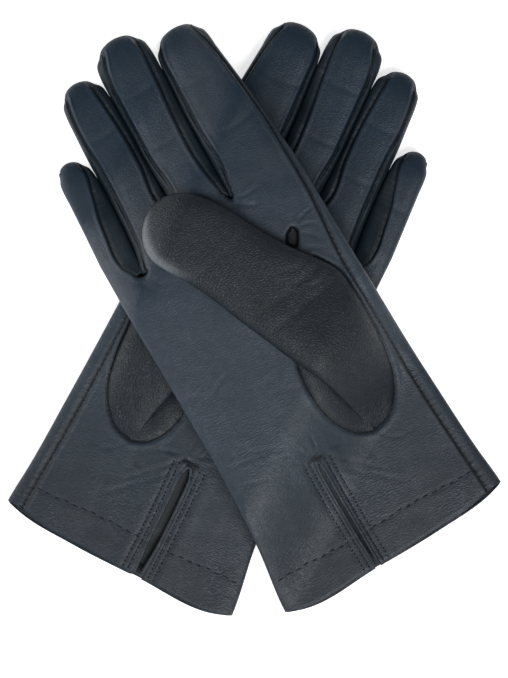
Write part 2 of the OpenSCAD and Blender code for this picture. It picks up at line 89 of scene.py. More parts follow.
# Outlines of the flattened hand and its side seam, as (v, u).
ULNAR_EDGE = ((-6, -55.3), (0, -55), (30, -51), (60, -49.2), (100, -49), (170, -49.5))
RADIAL_EDGE = ((-6, 55.8), (0, 55.6), (20, 53.7), (50, 52), (100, 49.8), (170, 48.4))
SIDE_SEAM = (
    (-6, 48.6), (0, 48.3), (50, 45.3), (100, 43.7), (120, 43.4), (137, 44.6),
    (150, 45.6), (180, 45.3), (200, 44.3), (220, 42.2), (235, 39.8), (242, 37.6),
)
# The seams between the finger faces and their gussets, as (v, u).
SEAMS = {
    (INDEX, -1): ((167.5, 16.2), (180, 18.4), (200, 18), (220, 17.9), (235, 19.5), (242, 21.6)),
    (MIDDLE, 1): ((168.5, 13.4), (176, 11.8), (190, 10.3), (210, 11), (230, 13), (244, 13.6), (250, 13)),
    (MIDDLE, -1): ((173, -6.8), (182, -5.4), (200, -6.8), (230, -6.4), (240, -4.8), (250, -1.6)),
    (RING, 1): ((173, -10.8), (182, -13.4), (200, -11.9), (230, -12.5), (241, -13.6)),
    (RING, -1): ((157.6, -32.3), (166, -30.4), (180, -29), (200, -28), (235, -26.8), (242, -25.4)),
    (LITTLE, 1): ((158.4, -38), (163, -40.4), (170, -41.5), (180, -40.3), (190, -38.8), (200, -36.2),
                  (210, -34.4), (214, -35.2)),
}
# Middle of the gap between each finger and the next one, as (v, u): there their gussets touch.
GAPS = {
    INDEX: ((166, 14.8), (200, 15.4), (235, 17.3), (254, 17.6)),
    MIDDLE: ((170, -8.8), (200, -9.1), (240, -8.4), (254, -8)),
    RING: ((157, -35), (170, -32.8), (185, -31.6), (215, -31), (232, -30), (246, -29.6)),
}
CUFF_EDGE = ((0, -1.5), (0.06, -3.6), (0.4, -4), (0.7, -3.4), (0.94, -1), (1, 0.8))
HALF_THICK = ((0, 4.4), (110, 4.4), (170, 4.8), (200, 5.3))
PALM_POWER = 4.0
PALM_BACK_POWER = 6.0

VENT_U = -9.8
VENT_TOP = 50.0
VENT_BINDING = (0.75, 0.5)  # half width and half height of the bound edge
VENT_STITCH_START = -2.2
VENT_STITCH_PITCH = 1.95
VENT_TACK = np.array(((-13.2, 50.4), (-9.6, 51.4), (-6.2, 50.6)))   # the pull across the vent's closed end
VENT_HALF = {"left": 1.9, "right": 0.55}   # half the vent's opening: the lower glove's gapes
VENT_ROWS = (3.0, 5.5)      # the two rows of stitches, measured from the vent's edge
HEM_V = 12.0
HEM_SWAY = 9.0              # the hem's seam wanders a little, with waves this long over 2 pi
HEM_STITCH_PITCH = 4.3
SIDE_STITCH_PITCH = 2.6
SIDE_STITCHED = 150.0       # the side seam's stitches are modelled up to this height
HOLE_STITCH_PITCH = 2.6
HOLE_SINK = 2.6             # how far the palm lies lower inside the thumb hole, and inside the quirk
QUIRK_SINK = 1.9
CREASE_START = 4.0          # a crease deepens over this length, and fades over this share of its own
CREASE_TAPER = 0.4
HINGES = {"left": (221, 205, 192, 182), "right": (193, 196, 192, 182)}
SPLIT = 12.0      # the finger pieces start this far before the hinge line
BEND = 7.0        # the distance to both sides of the hinge line that is given to bends() as its start and end

# Outline of the folded thumb from the bottom of the thumb hole, up its left and its right side.
THUMB_LEFT = ((18.6, 48.3), (16.6, 55), (13.6, 66), (10, 77), (5, 88), (0.6, 98), (-3.4, 107.5),
              (-8.4, 119), (-13.4, 131.5), (-19.6, 144.5), (-25, 153.5), (-28.2, 160.5),
              (-28.4, 167), (-25.8, 173.6), (-21, 178.6), (-15.4, 181.6), (-11, 182.2))
THUMB_RIGHT = ((18.6, 48.3), (27, 50.6), (33.6, 57), (38.2, 65.6), (40.4, 77), (41.2, 91),
               (41.2, 106), (39.8, 116.6), (35, 124.4), (28.4, 133), (21.6, 143.6), (15, 156),
               (9.4, 166.4), (4, 173.8), (-1.4, 178.8), (-6.4, 181.4), (-11, 182.2))
# Visible side of the thumb hole, where the inner wall of the thumb is sewn in.
HOLE_SIDE = ((18.6, 48.3), (13.4, 50.2), (9, 54), (5.8, 59.4), (3.6, 66), (2.6, 75), (2.6, 84), (4.4, 92),
             (8, 99))
THUMB_FLAT = 8.0

PLACES = {"left": ((-58.5, -104.5), -26.0), "right": ((60.7, -99.7), 30.0)}
STACK = 19.2
DRAPE = (38.0, 80.0)
MM = 0.001


# ---------------------------------------------------------------- shared maths

def curve(table, at):
    """Smooth value of a (position, value) table; Catmull-Rom tangents keep seams free of corners."""
    x = np.array([row[0] for row in table], float)
    y = np.array([row[1] for row in table], float)
    slope = np.gradient(y, x)
    at = np.clip(np.asarray(at, float), x[0], x[-1])
    i = np.clip(np.searchsorted(x, at, side="right") - 1, 0, len(x) - 2)
    width = x[i + 1] - x[i]
    t = (at - x[i]) / width
    h00 = 2 * t**3 - 3 * t**2 + 1
    h10 = t**3 - 2 * t**2 + t
    h01 = -2 * t**3 + 3 * t**2
    h11 = t**3 - t**2
    return h00 * y[i] + h10 * width * slope[i] + h01 * y[i + 1] + h11 * width * slope[i + 1]


def path(points, count):
    """Evenly spaced points along a smooth curve through the given ones."""
    p = np.array(points, float)
    steps = np.r_[0, np.cumsum(lengths(p))]
    fine = np.linspace(0, steps[-1], count)
    return np.stack([curve(list(zip(steps, p[:, i])), fine) for i in range(p.shape[1])], axis=1)


def lengths(line):
    """Length of each step of a line of points."""
    return np.linalg.norm(np.diff(line, axis=0), axis=1)


def points_at(u, v, z):
    """Points from three arrays, which are first brought to one shape."""
    return np.stack(np.broadcast_arrays(u, v, z), axis=-1)


def mix(a, b, t):
    return a + (b - a) * t


def smooth(t):
    t = np.clip(t, 0, 1)
    return t * t * (3 - 2 * t)


def oval(x, power):
    return np.maximum(0, 1 - np.abs(x) ** power) ** (1 / power)


def bell(distance, width):
    return np.exp(-((distance / width) ** 2))


def turned(u, v, degrees):
    c, s = math.cos(math.radians(degrees)), math.sin(math.radians(degrees))
    return u * c - v * s, u * s + v * c


def distance_to(u, v, line):
    """Distance from each point to a polyline, and how far along it the nearest point is."""
    line = np.asarray(line, float)
    best = np.full(np.shape(u), 1e9)
    where = np.zeros(np.shape(u))
    run = 0.0
    for a, b in zip(line[:-1], line[1:]):
        d = b - a
        length = math.hypot(*d)
        t = np.clip(((u - a[0]) * d[0] + (v - a[1]) * d[1]) / length**2, 0, 1)
        gap = np.hypot(u - a[0] - t * d[0], v - a[1] - t * d[1])
        nearer = gap < best
        best = np.where(nearer, gap, best)
        where = np.where(nearer, run + t * length, where)
        run += length
    return best, where


# ---------------------------------------------------------------- the glove's shape

def drape(side, u, v):
    """How far the upper glove is lifted where it crosses the lower one."""
    if side == "left":
        return np.zeros(np.shape(u))
    (ox, oy), angle = PLACES["right"]
    (lx, ly), lean = PLACES["left"]
    x, y = turned(u, v, angle)
    x, y = x + ox - lx, y + oy - ly
    across = x * math.cos(math.radians(lean)) + y * math.sin(math.radians(lean))
    return STACK * (1 - smooth((np.abs(across) - DRAPE[0]) / (DRAPE[1] - DRAPE[0])))


def place(side, p):
    """From a glove's own frame in millimetres to the shared frame in metres."""
    u, v, z = p[..., 0], p[..., 1], p[..., 2] + drape(side, p[..., 0], p[..., 1])
    (ox, oy), angle = PLACES[side]
    x, y = turned(-u if side == "left" else u, v, angle)
    return np.stack([x + ox, y + oy, z], axis=-1) * MM


def half_thick(v):
    return np.interp(v, *zip(*HALF_THICK))


def low_edge(v):
    return curve(ULNAR_EDGE, v)


def high_edge(v):
    return curve(RADIAL_EDGE, v)


def palm_z(u, v, side=1, inset=0.0):
    low, high = low_edge(v) + inset, high_edge(v) - inset
    x = (2 * u - low - high) / (high - low)
    b = half_thick(v)
    return b + side * (b - inset) * oval(x, PALM_POWER if side > 0 else PALM_BACK_POWER)


def finger_centre(k, v):
    c0, c1, _, _, tip = SHAPES[k]
    return mix(c0, c1, np.clip((v - ROOT_V) / (tip - TIP_ROUND - ROOT_V), 0, 1))


def tip_part(k, v):
    return np.clip((v - SHAPES[k][4] + TIP_ROUND) / TIP_ROUND, 0, 1)


def tip_width(k, v):
    """Share of a finger's full width that is left at each height."""
    return mix(TIP_FLAT, 1, oval(tip_part(k, v), 2.2))


def finger_half(k, v):
    _, _, h0, h1, tip = SHAPES[k]
    return tip_width(k, v) * mix(h0, h1, np.clip((v - ROOT_V) / (tip - TIP_ROUND - ROOT_V), 0, 1))


def finger_z(k, u, v, side=1, inset=0.0):
    b = half_thick(v)
    x = np.clip((u - finger_centre(k, v)) / finger_half(k, v), -1, 1)
    power = FACE_POWER if side > 0 else BACK_POWER
    return b + side * (b - inset) * oval(tip_part(k, v), 2) * oval(x, power)


def seam_u(k, side, v):
    """Where a finger's face ends: at a gusset seam, at the side seam, or at the little finger's fold."""
    if (k, side) == (INDEX, 1):
        u = curve(SIDE_SEAM, v)
    elif (k, side) == (LITTLE, -1):
        return np.where(np.asarray(v) < ROOT_V, low_edge(v),
                        finger_centre(k, v) - finger_half(k, v))
    else:
        u = curve(SEAMS[(k, side)], v)
    c, h = finger_centre(k, v), finger_half(k, v)
    limit = c + side * h * mix(0.9, 0.985, smooth((tip_part(k, v) - 0.5) * 2))
    within = np.minimum(u, limit) if side > 0 else np.maximum(u, limit)
    return np.where(np.asarray(v) > ROOT_V, within, u)


def crotch_v(k, t):
    """Height of the finger's root; t runs from the little finger's side to the thumb's side."""
    ends = {INDEX: (167.5, 163.0), MIDDLE: (173.0, 168.5), RING: (157.6, 173.0), LITTLE: (152.0, 158.4)}[k]
    return mix(ends[0], ends[1], smooth(t))


# ---------------------------------------------------------------- creases and seams of the palm

def stroke(*points):
    return path(points, 4 * len(points))


# Creases worked into the palm: (line, half width, depth); a negative depth is a raised fold.
CREASES = (
    (stroke(*VENT_TACK), 1.4, 1.1),
    (stroke((-10, 52), (-11, 57), (-14, 62)), 1.1, 0.3),
    (stroke((-9, 52), (-7, 57), (-7, 62)), 1.1, 0.3),
    (stroke((-13, 51), (-18, 53), (-24, 53.5)), 1.1, 0.35),
    (stroke((-6.4, 51), (-1, 51.5), (6, 50)), 1.1, 0.3),
    (stroke((-9.5, 53), (-20, 58), (-33, 61)), 1.6, 0.35),
    (stroke((-10, 54), (-24, 64), (-40, 70)), 1.8, 0.3),
    (stroke((-12, 56), (-22, 69), (-36, 80)), 1.7, 0.22),
    (stroke((-44, 57), (-34, 54), (-24, 51)), 1.8, 0.22),
    (stroke((-46, 66), (-34, 65), (-22, 62)), 1.5, 0.25),
    (stroke((-8.5, 53), (-2, 47), (9, 36), (20, 27)), 1.8, 0.3),
    (stroke((-7, 54), (3, 51), (12, 46)), 1.5, 0.25),
    (stroke((-4, 44), (10, 31), (24, 18)), 2.2, 0.25),
    (stroke((-38, 99), (-44, 101), (-48.5, 103)), 1.4, 0.25),
    (stroke((-40, 93), (-30, 100), (-20, 103)), 1.8, 0.16),
    (stroke((33.4, 143), (39, 145.4), (45, 146)), 1.1, 0.4),
    (stroke((33, 141.5), (38, 141), (43, 138)), 1.2, 0.3),
    (stroke((32.4, 140), (37, 136), (41, 131)), 1.2, 0.28),
    (stroke((33, 144), (37, 149), (40, 155)), 1.3, 0.22),
    (stroke((30, 134), (36, 130), (42, 127)), 1.3, 0.22),
    (stroke((14, 166), (19, 161), (26, 158)), 1.5, 0.25),
    (stroke((15.5, 166.5), (23, 165), (30, 167)), 1.5, 0.22),
    (stroke((-36, 156.5), (-38, 150), (-44, 147)), 1.4, 0.22),
    (stroke((-34, 156.5), (-30, 150), (-22, 148)), 1.5, 0.25),
    (stroke((-41, 159), (-46, 161), (-49, 165)), 1.2, 0.3),
    (stroke((-49, 172), (-46, 167), (-45, 160)), 1.3, -0.2),
    (stroke((2.4, 80), (-8, 84), (-20, 84)), 2.2, 0.14),
    (stroke((19, 47.5), (24, 42), (33, 39)), 1.6, 0.2),
    (stroke((17, 47), (12, 41), (4, 38)), 1.5, 0.2),
)
QUIRK = np.array(((28.6, 133.6), (25.6, 137.4), (27.6, 141.4), (31.8, 143.6), (33.0, 141), (31.2, 136.6),
                  (28.6, 133.6)))


def hole_outline():
    """The seam of the thumb hole, from the foot of the thumb's right side round its left side."""
    return np.vstack([path(HOLE_SIDE, 30)[::-1], path(THUMB_RIGHT, 60)[1:34]])


def inside(u, v, outline):
    """True for points inside a closed outline, by counting how often it is crossed on the way out."""
    within = np.zeros(np.shape(u), bool)
    for a, b in zip(outline, np.roll(outline, -1, axis=0)):
        if a[1] != b[1]:
            level = (a[1] > v) != (b[1] > v)
            within ^= level & (u < a[0] + (v - a[1]) * (b[0] - a[0]) / (b[1] - a[1]))
    return within


def crease_relief(u, v):
    """Valleys along the creases, each with a slight rise beside it, fading out at both ends."""
    z = np.zeros(np.shape(u))
    for line, width, depth in CREASES:
        near, along = distance_to(u, v, line)
        total = lengths(line).sum()
        fade = smooth(along / CREASE_START) * smooth((total - along) / (CREASE_TAPER * total))
        z -= 0.8 * depth * fade * bell(near, width * 0.5)
        z += 0.25 * depth * fade * bell(near - width * 1.1, width * 0.6)
    return z


def hole_relief(u, v):
    """The sewn edge of the thumb hole; inside it the palm sinks away below the thumb."""
    outline = hole_outline()
    near, along = distance_to(u, v, outline)
    pucker = 1 + 0.3 * np.sin(along * 2 * math.pi / HOLE_STITCH_PITCH)
    rim = 0.3 * bell(near - 1.9, 1.0)
    sunk = np.where(inside(u, v, outline), -HOLE_SINK * smooth(near / 2.2), rim)
    return sunk - 0.75 * pucker * bell(near, 0.8)


def quirk_relief(u, v):
    near = distance_to(u, v, QUIRK)[0]
    rim = 0.15 * bell(near - 1.2, 0.9) - 0.3 * bell(near, 0.4)
    return np.where(inside(u, v, QUIRK), -QUIRK_SINK * smooth(near / 1.3 + 0.2), rim)


def hem_relief(u, v):
    hem = np.abs(v - HEM_V - 0.4 * np.sin(u / HEM_SWAY))
    pulled = 0.1 * (1 + np.sin(u * 2 * math.pi / HEM_STITCH_PITCH)) * bell(hem, 0.8)
    return 0.05 * bell(hem - 2, 1.2) - pulled


def palm_relief(side, u, v):
    """Everything worked into the palm at each point: creases, seams, hem, vent and unevenness."""
    return (crease_relief(u, v) + hole_relief(u, v) + quirk_relief(u, v) + hem_relief(u, v)
            + vent_relief(side, u, v) + waviness(u, v))


def vent_centre(v):
    return VENT_U - 0.35 * np.sin(v / 16)


def vent_opening(side, v):
    """Half the vent's opening at each height: closed at its top, narrower again at the cuff."""
    return VENT_HALF[side] * smooth((VENT_TOP - v) / 7) * mix(1, 0.55, smooth((14 - v) / 18))


def vent_shade(side, u, v):
    """Distance that lets the seam shade follow both lips of the vent."""
    beyond = np.maximum(v - VENT_TOP + 1, 0)
    return 0.9 * np.hypot(np.maximum(np.abs(u - vent_centre(v)) - VENT_HALF[side], 0), beyond)


def vent_relief(side, u, v):
    """The folded edges and stitched bands on both sides of the wrist vent."""
    d = np.abs(u - vent_centre(v)) - VENT_HALF[side]
    over = np.hypot(u - vent_centre(v), np.maximum(v - VENT_TOP + 2, 0)) - VENT_HALF[side]
    d = np.where(v > VENT_TOP - 2, over, d)
    fade = smooth((VENT_TOP + 2.5 - v) / 3)
    holes = 0.6 - 0.4 * np.cos((v - VENT_STITCH_START) * 2 * math.pi / VENT_STITCH_PITCH)
    lift = 0.5 * smooth((3.4 - d) / 1.0) - 0.55 * bell(d, 0.45)
    rows = -0.45 * holes * (bell(d - VENT_ROWS[0], 0.5) + bell(d - VENT_ROWS[1], 0.55))
    band = 0.15 * smooth((6.2 - d) / 1.2)
    return fade * (lift + rows + band) + 0.25 * fade * bell(d - 8, 2.5)


def waviness(u, v):
    """Slow unevenness of soft leather lying loose."""
    return (0.35 * np.sin(u / 13 + v / 31 + 0.6) * np.sin(v / 23 - u / 40)
            + 0.16 * np.sin(u / 6.1 - v / 17 + 2.1) * np.sin(v / 9.7 + u / 15)
            + 0.07 * np.sin(u / 2.9 + v / 5.3) * np.sin(v / 3.7 - u / 6.1))


def seam_relief(distance, along, depth=0.9, pull=0.14):
    """Profile across a sewn seam, with the small puckers that its stitches pull."""
    pucker = 1 + pull * np.sin(along * 2 * math.pi / 2.5) + 0.5 * pull * np.sin(along * 1.7)
    return -depth * pucker * bell(distance, 0.5) + 0.3 * pucker * bell(distance - 1.4, 0.8)


# ---------------------------------------------------------------- meshes

def bunched(count, edge):
    """count + 1 steps from 0 to 1, closer together at both ends."""
    t = np.linspace(0, 1, count + 1)
    return mix(t, t - np.sin(2 * math.pi * t) / (2 * math.pi), edge)


WELD_STEP = 2e-6    # metres; points that round to the same step are one point


class Skin:
    """Grids of points gathered into one surface, so that pieces cut from it share their shading."""

    def __init__(self, side):
        self.side = side
        self.points = []
        self.skin = []
        self.marks = []
        self.faces = []
        self.tags = []
        self.count = 0

    def add(self, grid, tag, mark=None, keep=None, flip=False):
        """grid is rows x columns x 3 in the glove's frame; keep drops cells; mark is a per-point value."""
        rows, cols = grid.shape[:2]
        index = np.arange(rows * cols).reshape(rows, cols) + self.count
        a, b, c, d = index[:-1, :-1], index[:-1, 1:], index[1:, 1:], index[1:, :-1]
        quads = np.stack([a, b, c, d], axis=-1).reshape(-1, 4)
        if keep is not None:
            quads = quads[keep.reshape(-1)]
        if flip != (self.side == "left"):
            quads = quads[:, ::-1]
        self.points.append(place(self.side, grid).reshape(-1, 3))
        self.skin.append(grid.reshape(-1, 3))
        self.marks.append((np.zeros((rows, cols)) if mark is None else mark).reshape(-1))
        self.faces.append(quads)
        self.tags += [tag] * len(quads)
        self.count += rows * cols

    def weld(self):
        """Joins points that coincide, and works out one normal for each."""
        points = np.vstack(self.points)
        _, first, group = np.unique(np.round(points / WELD_STEP).astype(np.int64), axis=0,
                                    return_index=True, return_inverse=True)
        group = group.reshape(-1)
        self.vertices = points[first]
        self.where = np.vstack(self.skin)[first]
        self.mark = np.concatenate(self.marks)[first]
        self.quads = group[np.vstack(self.faces)]
        self.tags = np.array(self.tags)
        p = self.vertices[self.quads]
        normal = np.cross(p[:, 2] - p[:, 0], p[:, 3] - p[:, 1])
        self.normals = np.zeros_like(self.vertices)
        for corner in range(4):
            np.add.at(self.normals, self.quads[:, corner], normal)
        length = np.linalg.norm(self.normals, axis=1, keepdims=True)
        self.normals /= np.maximum(length, 1e-12)
        return self

    def cut(self, tag, name, material):
        """The piece made of the cells with this tag."""
        quads = self.quads[self.tags == tag]
        used, local = np.unique(quads, return_inverse=True)
        return mesh_object(name, self.vertices[used], local.reshape(-1, 4), material,
                           self.where[used], self.mark[used], self.normals[used])


def mesh_object(name, points, faces, material, where=None, mark=None, normals=None):
    """A smooth mesh object with its place on the glove and its seam shade and painted light stored for the
    material.
    """
    faces = [tuple(dict.fromkeys(int(i) for i in face)) for face in faces]
    mesh = bpy.data.meshes.new(name)
    mesh.from_pydata(points.tolist(), [], [f for f in faces if len(f) > 2])
    mesh.update()
    mesh.polygons.foreach_set("use_smooth", [True] * len(mesh.polygons))
    if where is not None:
        layer = mesh.attributes.new("skin", "FLOAT_VECTOR", "POINT")
        layer.data.foreach_set("vector", where.astype(np.float32).ravel())
    if mark is not None:
        layer = mesh.attributes.new("seam", "FLOAT", "POINT")
        layer.data.foreach_set("value", mark.astype(np.float32))
    mesh.materials.append(material)
    if normals is not None:
        mesh.normals_split_custom_set_from_vertices(normals.tolist())
    obj = bpy.data.objects.new(name, mesh)
    bpy.context.scene.collection.objects.link(obj)
    return obj


# ---------------------------------------------------------------- grids of the leather

PALM_ROWS = 200
ROW_BUNCHING = 0.15
FACE_STEPS = {INDEX: 34, MIDDLE: 24, RING: 22, LITTLE: 20}
GAP_STEPS = 4


def face_steps(k):
    """Columns across a finger's face, from 0 to 1; extra ones follow the little finger's round fold."""
    t = bunched(FACE_STEPS[k], 0.55)
    return np.r_[0, 0.004, 0.016, t[1:]] if k == LITTLE else t


def palm_columns():
    """Columns across the palm at the finger roots: (u, v) where each finger's face begins."""
    u, v, gap = [], [], []
    for k in (LITTLE, RING, MIDDLE, INDEX):
        t = face_steps(k)
        height = crotch_v(k, t)
        low, high = seam_u(k, -1, height), seam_u(k, 1, height)
        if u:
            s = np.linspace(0, 1, GAP_STEPS + 1)[1:-1]
            sag = -1.6 * np.sin(math.pi * s)
            u += list(mix(u[-1], low[0], s))
            v += list(mix(v[-1], height[0], s) + sag)
        gap.append(len(u))
        u += list(mix(low, high, t))
        v += list(height)
    return np.array(u), np.array(v), gap


VENT_ROOT_U = -8.8    # the column that parts at the vent starts here, at the finger roots
ROOT_U, ROOT_HEIGHT, FACE_START = palm_columns()
ROOT_SHARE = (ROOT_U - ROOT_U[0]) / (ROOT_U[-1] - ROOT_U[0])
VENT_COLUMN = int(np.argmin(np.abs(ROOT_U - VENT_ROOT_U)))


def gap_columns(k):
    """First and last palm column of the gap between finger k and the next one."""
    return FACE_START[2 - k] + len(face_steps(k + 1)) - 1, FACE_START[3 - k]


def near_roots(t):
    """0 over most of the hand, then up to 1 where its columns meet the fingers' own."""
    return smooth((t - 0.9) * 10)


def palm_plan(side):
    """u and v of every point of the palm grid; the columns part at the vent."""
    share = ROOT_SHARE[None, :]
    t = bunched(PALM_ROWS, ROW_BUNCHING)[:, None]
    v = mix(curve(CUFF_EDGE, share), ROOT_HEIGHT[None, :], t)
    u = mix(low_edge(v), curve(SIDE_SEAM, v), share)
    u = mix(u, ROOT_U[None, :], near_roots(t))
    return part_at_vent(side, u, v), v


def part_at_vent(side, u, v):
    """Moves the columns around the vent so that two of them follow its edges."""
    here = u[:, VENT_COLUMN:VENT_COLUMN + 1]
    target = vent_centre(v[:, VENT_COLUMN:VENT_COLUMN + 1])
    strength = smooth((VENT_TOP + 34 - v) / 30)
    u = u + (target - here) * bell(u - here, 16) * strength
    centre = u[:, VENT_COLUMN:VENT_COLUMN + 1]
    toward = np.where(np.arange(u.shape[1])[None, :] > VENT_COLUMN, 1.0, -1.0)
    return u + toward * vent_opening(side, v) * bell(u - centre, 9)


CROTCHES = ((14.8, 169, 1.7), (-8.8, 174, 1.9), (-35, 158, 1.6))   # u, v and how deep the palm sinks


def crotch_dip(u, v):
    """The palm sinks a little at the root of each gap between two fingers."""
    dip = np.zeros(np.shape(u))
    for pu, pv, depth in CROTCHES:
        dip -= depth * bell(np.hypot((u - pu) * 1.1, (v - pv) * 0.62), 4.2)
    return dip


def root_gap_relief(u, v):
    """Groove of the seam that runs round the root of each gusset."""
    near = np.full(np.shape(u), 1e9)
    for k in range(3):
        a, b = gap_columns(k)
        line = np.stack([ROOT_U[a:b + 1], ROOT_HEIGHT[a:b + 1]], axis=1)
        gap, _ = distance_to(u, v, line)
        near = np.minimum(near, gap)
    return seam_relief(near, u + v, 0.7)


def edge_groove(u, v):
    """Groove of the side seam, which runs along the palm's thumb-side edge."""
    return seam_relief(np.abs(curve(SIDE_SEAM, v) - u), v)


def palm_surface(side, u, v):
    """Height of the palm leather's upper face, seams and creases included."""
    fade = smooth((u - low_edge(v)) / 6)
    return (palm_z(u, v) + palm_relief(side, u, v) * fade + crotch_dip(u, v)
            + root_gap_relief(u, v) + edge_groove(u, v))


def seam_mark(*distances):
    """0 to 1 where a seam's shadow and thread darken the leather."""
    near = np.minimum.reduce(distances)
    return bell(near, 0.75)


def palm_grid(side):
    u, v = palm_plan(side)
    z = palm_surface(side, u, v) - 0.8 * bell(v - curve(CUFF_EDGE, ROOT_SHARE[None, :]), 0.8)
    z[:, 0] = half_thick(v[:, 0])
    mark = seam_mark(distance_to(u, v, hole_outline())[0], curve(SIDE_SEAM, v) - u,
                     1.7 * distance_to(u, v, QUIRK)[0], 0.8 * distance_to(u, v, VENT_TACK)[0],
                     vent_shade(side, u, v))
    keep = np.ones((u.shape[0] - 1, u.shape[1] - 1), bool)
    keep[v[:-1, VENT_COLUMN] < VENT_TOP - 1, VENT_COLUMN] = False
    return points_at(u, v, z), mark, keep


def face_rows(k, side):
    """Heights of the rows of a finger's face from its split line to its tip."""
    start, tip = HINGES[side][k] - SPLIT, SHAPES[k][4]
    body = np.arange(start, tip - TIP_ROUND, 0.95)
    ease = np.sin(np.linspace(0, math.pi / 2, 19))
    return np.r_[body, mix(tip - TIP_ROUND, tip, ease)]


def finger_v(k, side, t):
    """Heights of a finger's grid: the root rows that belong to the hand, then the finger's own rows."""
    split = HINGES[side][k] - SPLIT
    own = face_rows(k, side)[1:, None]
    base = crotch_v(k, t)[None, :]
    s = np.linspace(0, 1, root_rows(k, side) + 1)[:, None]
    v = np.vstack([mix(base, split, s), np.broadcast_to(own, (len(own), len(t)))])
    return v, smooth((v - base) / (split - base))


def root_rows(k, side):
    return max(4, int((HINGES[side][k] - SPLIT - 160) / 1.1))


def face_grid(k, side):
    """Palm face of a finger, from its root to its tip."""
    t = face_steps(k)
    v, weight = finger_v(k, side, t)
    low, high = seam_u(k, -1, v), seam_u(k, 1, v)
    u = mix(low, high, t[None, :])
    left = np.abs(u - low) if k != LITTLE else np.full(u.shape, 9.0)
    right = np.abs(high - u)
    at_end = SHAPES[k][4] - v
    relief = (seam_relief(left, v) + seam_relief(right, v + 0.9)) * smooth(at_end / 3)
    relief += waviness(u * 1.4, v) * 0.55 * smooth(at_end / 8) + finger_creases(k, u, v)
    fold = smooth((u - low) / 3) if k == LITTLE else 1.0
    z = mix(palm_surface(side, u, v), finger_z(k, u, v) + relief * fold, weight)
    if k == LITTLE:
        z[:, 0] = half_thick(v[:, 0])
    mark = seam_mark(1.5 * left, 1.5 * right, at_end * 1.4)
    return points_at(u, v, z), mark


def domed(k, grid):
    """Rounds a fingertip's end, which the rows alone would leave straight across."""
    u, v = grid[..., 0], grid[..., 1]
    tip = SHAPES[k][4]
    x = np.clip((u - finger_centre(k, v)) / (0.8 * SHAPES[k][3]), -1, 1)
    return np.stack([u, v - TIP_DOME * smooth((v - tip + 9) / 9) * x**2, grid[..., 2]], axis=-1)


def finger_creases(k, u, v):
    """Soft folds where the finger bends, and small gathers round its tip."""
    c = finger_centre(k, v)
    out = np.zeros(np.shape(u))
    tip = SHAPES[k][4]
    for height, depth in ((tip - 27, 0.16), (tip - 52, 0.2)):
        out -= depth * bell(v - height - 0.06 * (u - c) ** 2 * 0.3, 1.2)
    spread = np.arctan2(u - c, tip - 9 - v + 1e-6)
    ring = smooth((v - tip + 7) / 5)
    return out - 0.16 * ring * (0.5 + 0.5 * np.sin(spread * 15))


def back_steps(k):
    """Columns across the back of a finger, as shares of half its width."""
    if k == LITTLE:
        return np.r_[-1.0, -0.985, -0.95, -0.88, np.linspace(-0.75, 0.93, 9)]
    if k == INDEX:
        return np.r_[np.linspace(-0.93, 0.75, 10), 0.88, 0.95, 0.985, 1.0]
    return np.linspace(-0.93, 0.93, 11)


def back_face_grid(k, side):
    """Back of a finger between its two lower edges, from the root to the tip."""
    x = back_steps(k)
    v, weight = finger_v(k, side, (x + 1) / 2)
    u = finger_centre(k, v) + finger_half(k, v) * x
    return points_at(u, v, mix(palm_z(u, v, -1), finger_z(k, u, v, -1), weight))


WRAP_ROOT = 163.0     # above this height the wrap takes the index finger's shape


def wrap_grid(side, seam):
    """Back leather that wraps round the thumb side up to the side seam; seam is that seam's line."""
    v = seam[:, 1:2]
    q = np.linspace(0, 1, 10)[None, :]
    edge = np.where(v < ROOT_V, high_edge(v), finger_centre(INDEX, v) + finger_half(INDEX, v))
    u = mix(seam[:, :1], edge, np.sin(q * math.pi / 2))
    weight = smooth((v - WRAP_ROOT) / (HINGES[side][INDEX] - SPLIT - WRAP_ROOT))
    flat = mix(palm_z(u, v), finger_z(INDEX, u, v), weight)
    relief = seam_relief(np.abs(u - seam[:, :1]), v + 0.8) * smooth((SHAPES[INDEX][4] - v) / 3)
    z = flat + relief * smooth((edge - u) / 1.5)
    z = mix(seam[:, 2:3] - flat[:, :1] + flat, z, smooth(q * 3))
    z[:, -1] = half_thick(v[:, 0])
    mark = seam_mark(np.abs(u - seam[:, :1]))
    return points_at(u, v, z), mark


def hand_back_grid(palm, wrap, backs):
    """Back of the hand, lying on the table, from the fold to the wrapped thumb side."""
    roots = np.vstack([backs[k][0] for k in (LITTLE, RING, MIDDLE, INDEX)])
    share = ((roots[:, 0] - roots[0, 0]) / (roots[-1, 0] - roots[0, 0]))[None, :]
    t = bunched(PALM_ROWS, ROW_BUNCHING)[:, None]
    v = mix(curve(CUFF_EDGE, share), roots[None, :, 1], t)
    u = mix(low_edge(v), high_edge(v), share)
    u = mix(u, roots[None, :, 0], near_roots(t))
    grid = points_at(u, v, palm_z(u, v, -1))
    grid[-1] = roots
    grid[:, 0] = palm[:, 0]
    grid[:, -1] = wrap[:PALM_ROWS + 1, -1]
    return grid


# ---------------------------------------------------------------- gussets

GUSSETS_PRESS = 0.04  # gussets of two fingers press into each other this far, so that no light gets through


def gap_side(k, toward, v):
    """How far a finger's gusset reaches: to the middle of the gap, and round the fingertip."""
    centre = finger_centre(k, v)
    reach = toward * (curve(GAPS[k if toward < 0 else k - 1], v) - centre) + GUSSETS_PRESS
    return centre + toward * reach * tip_width(k, v)


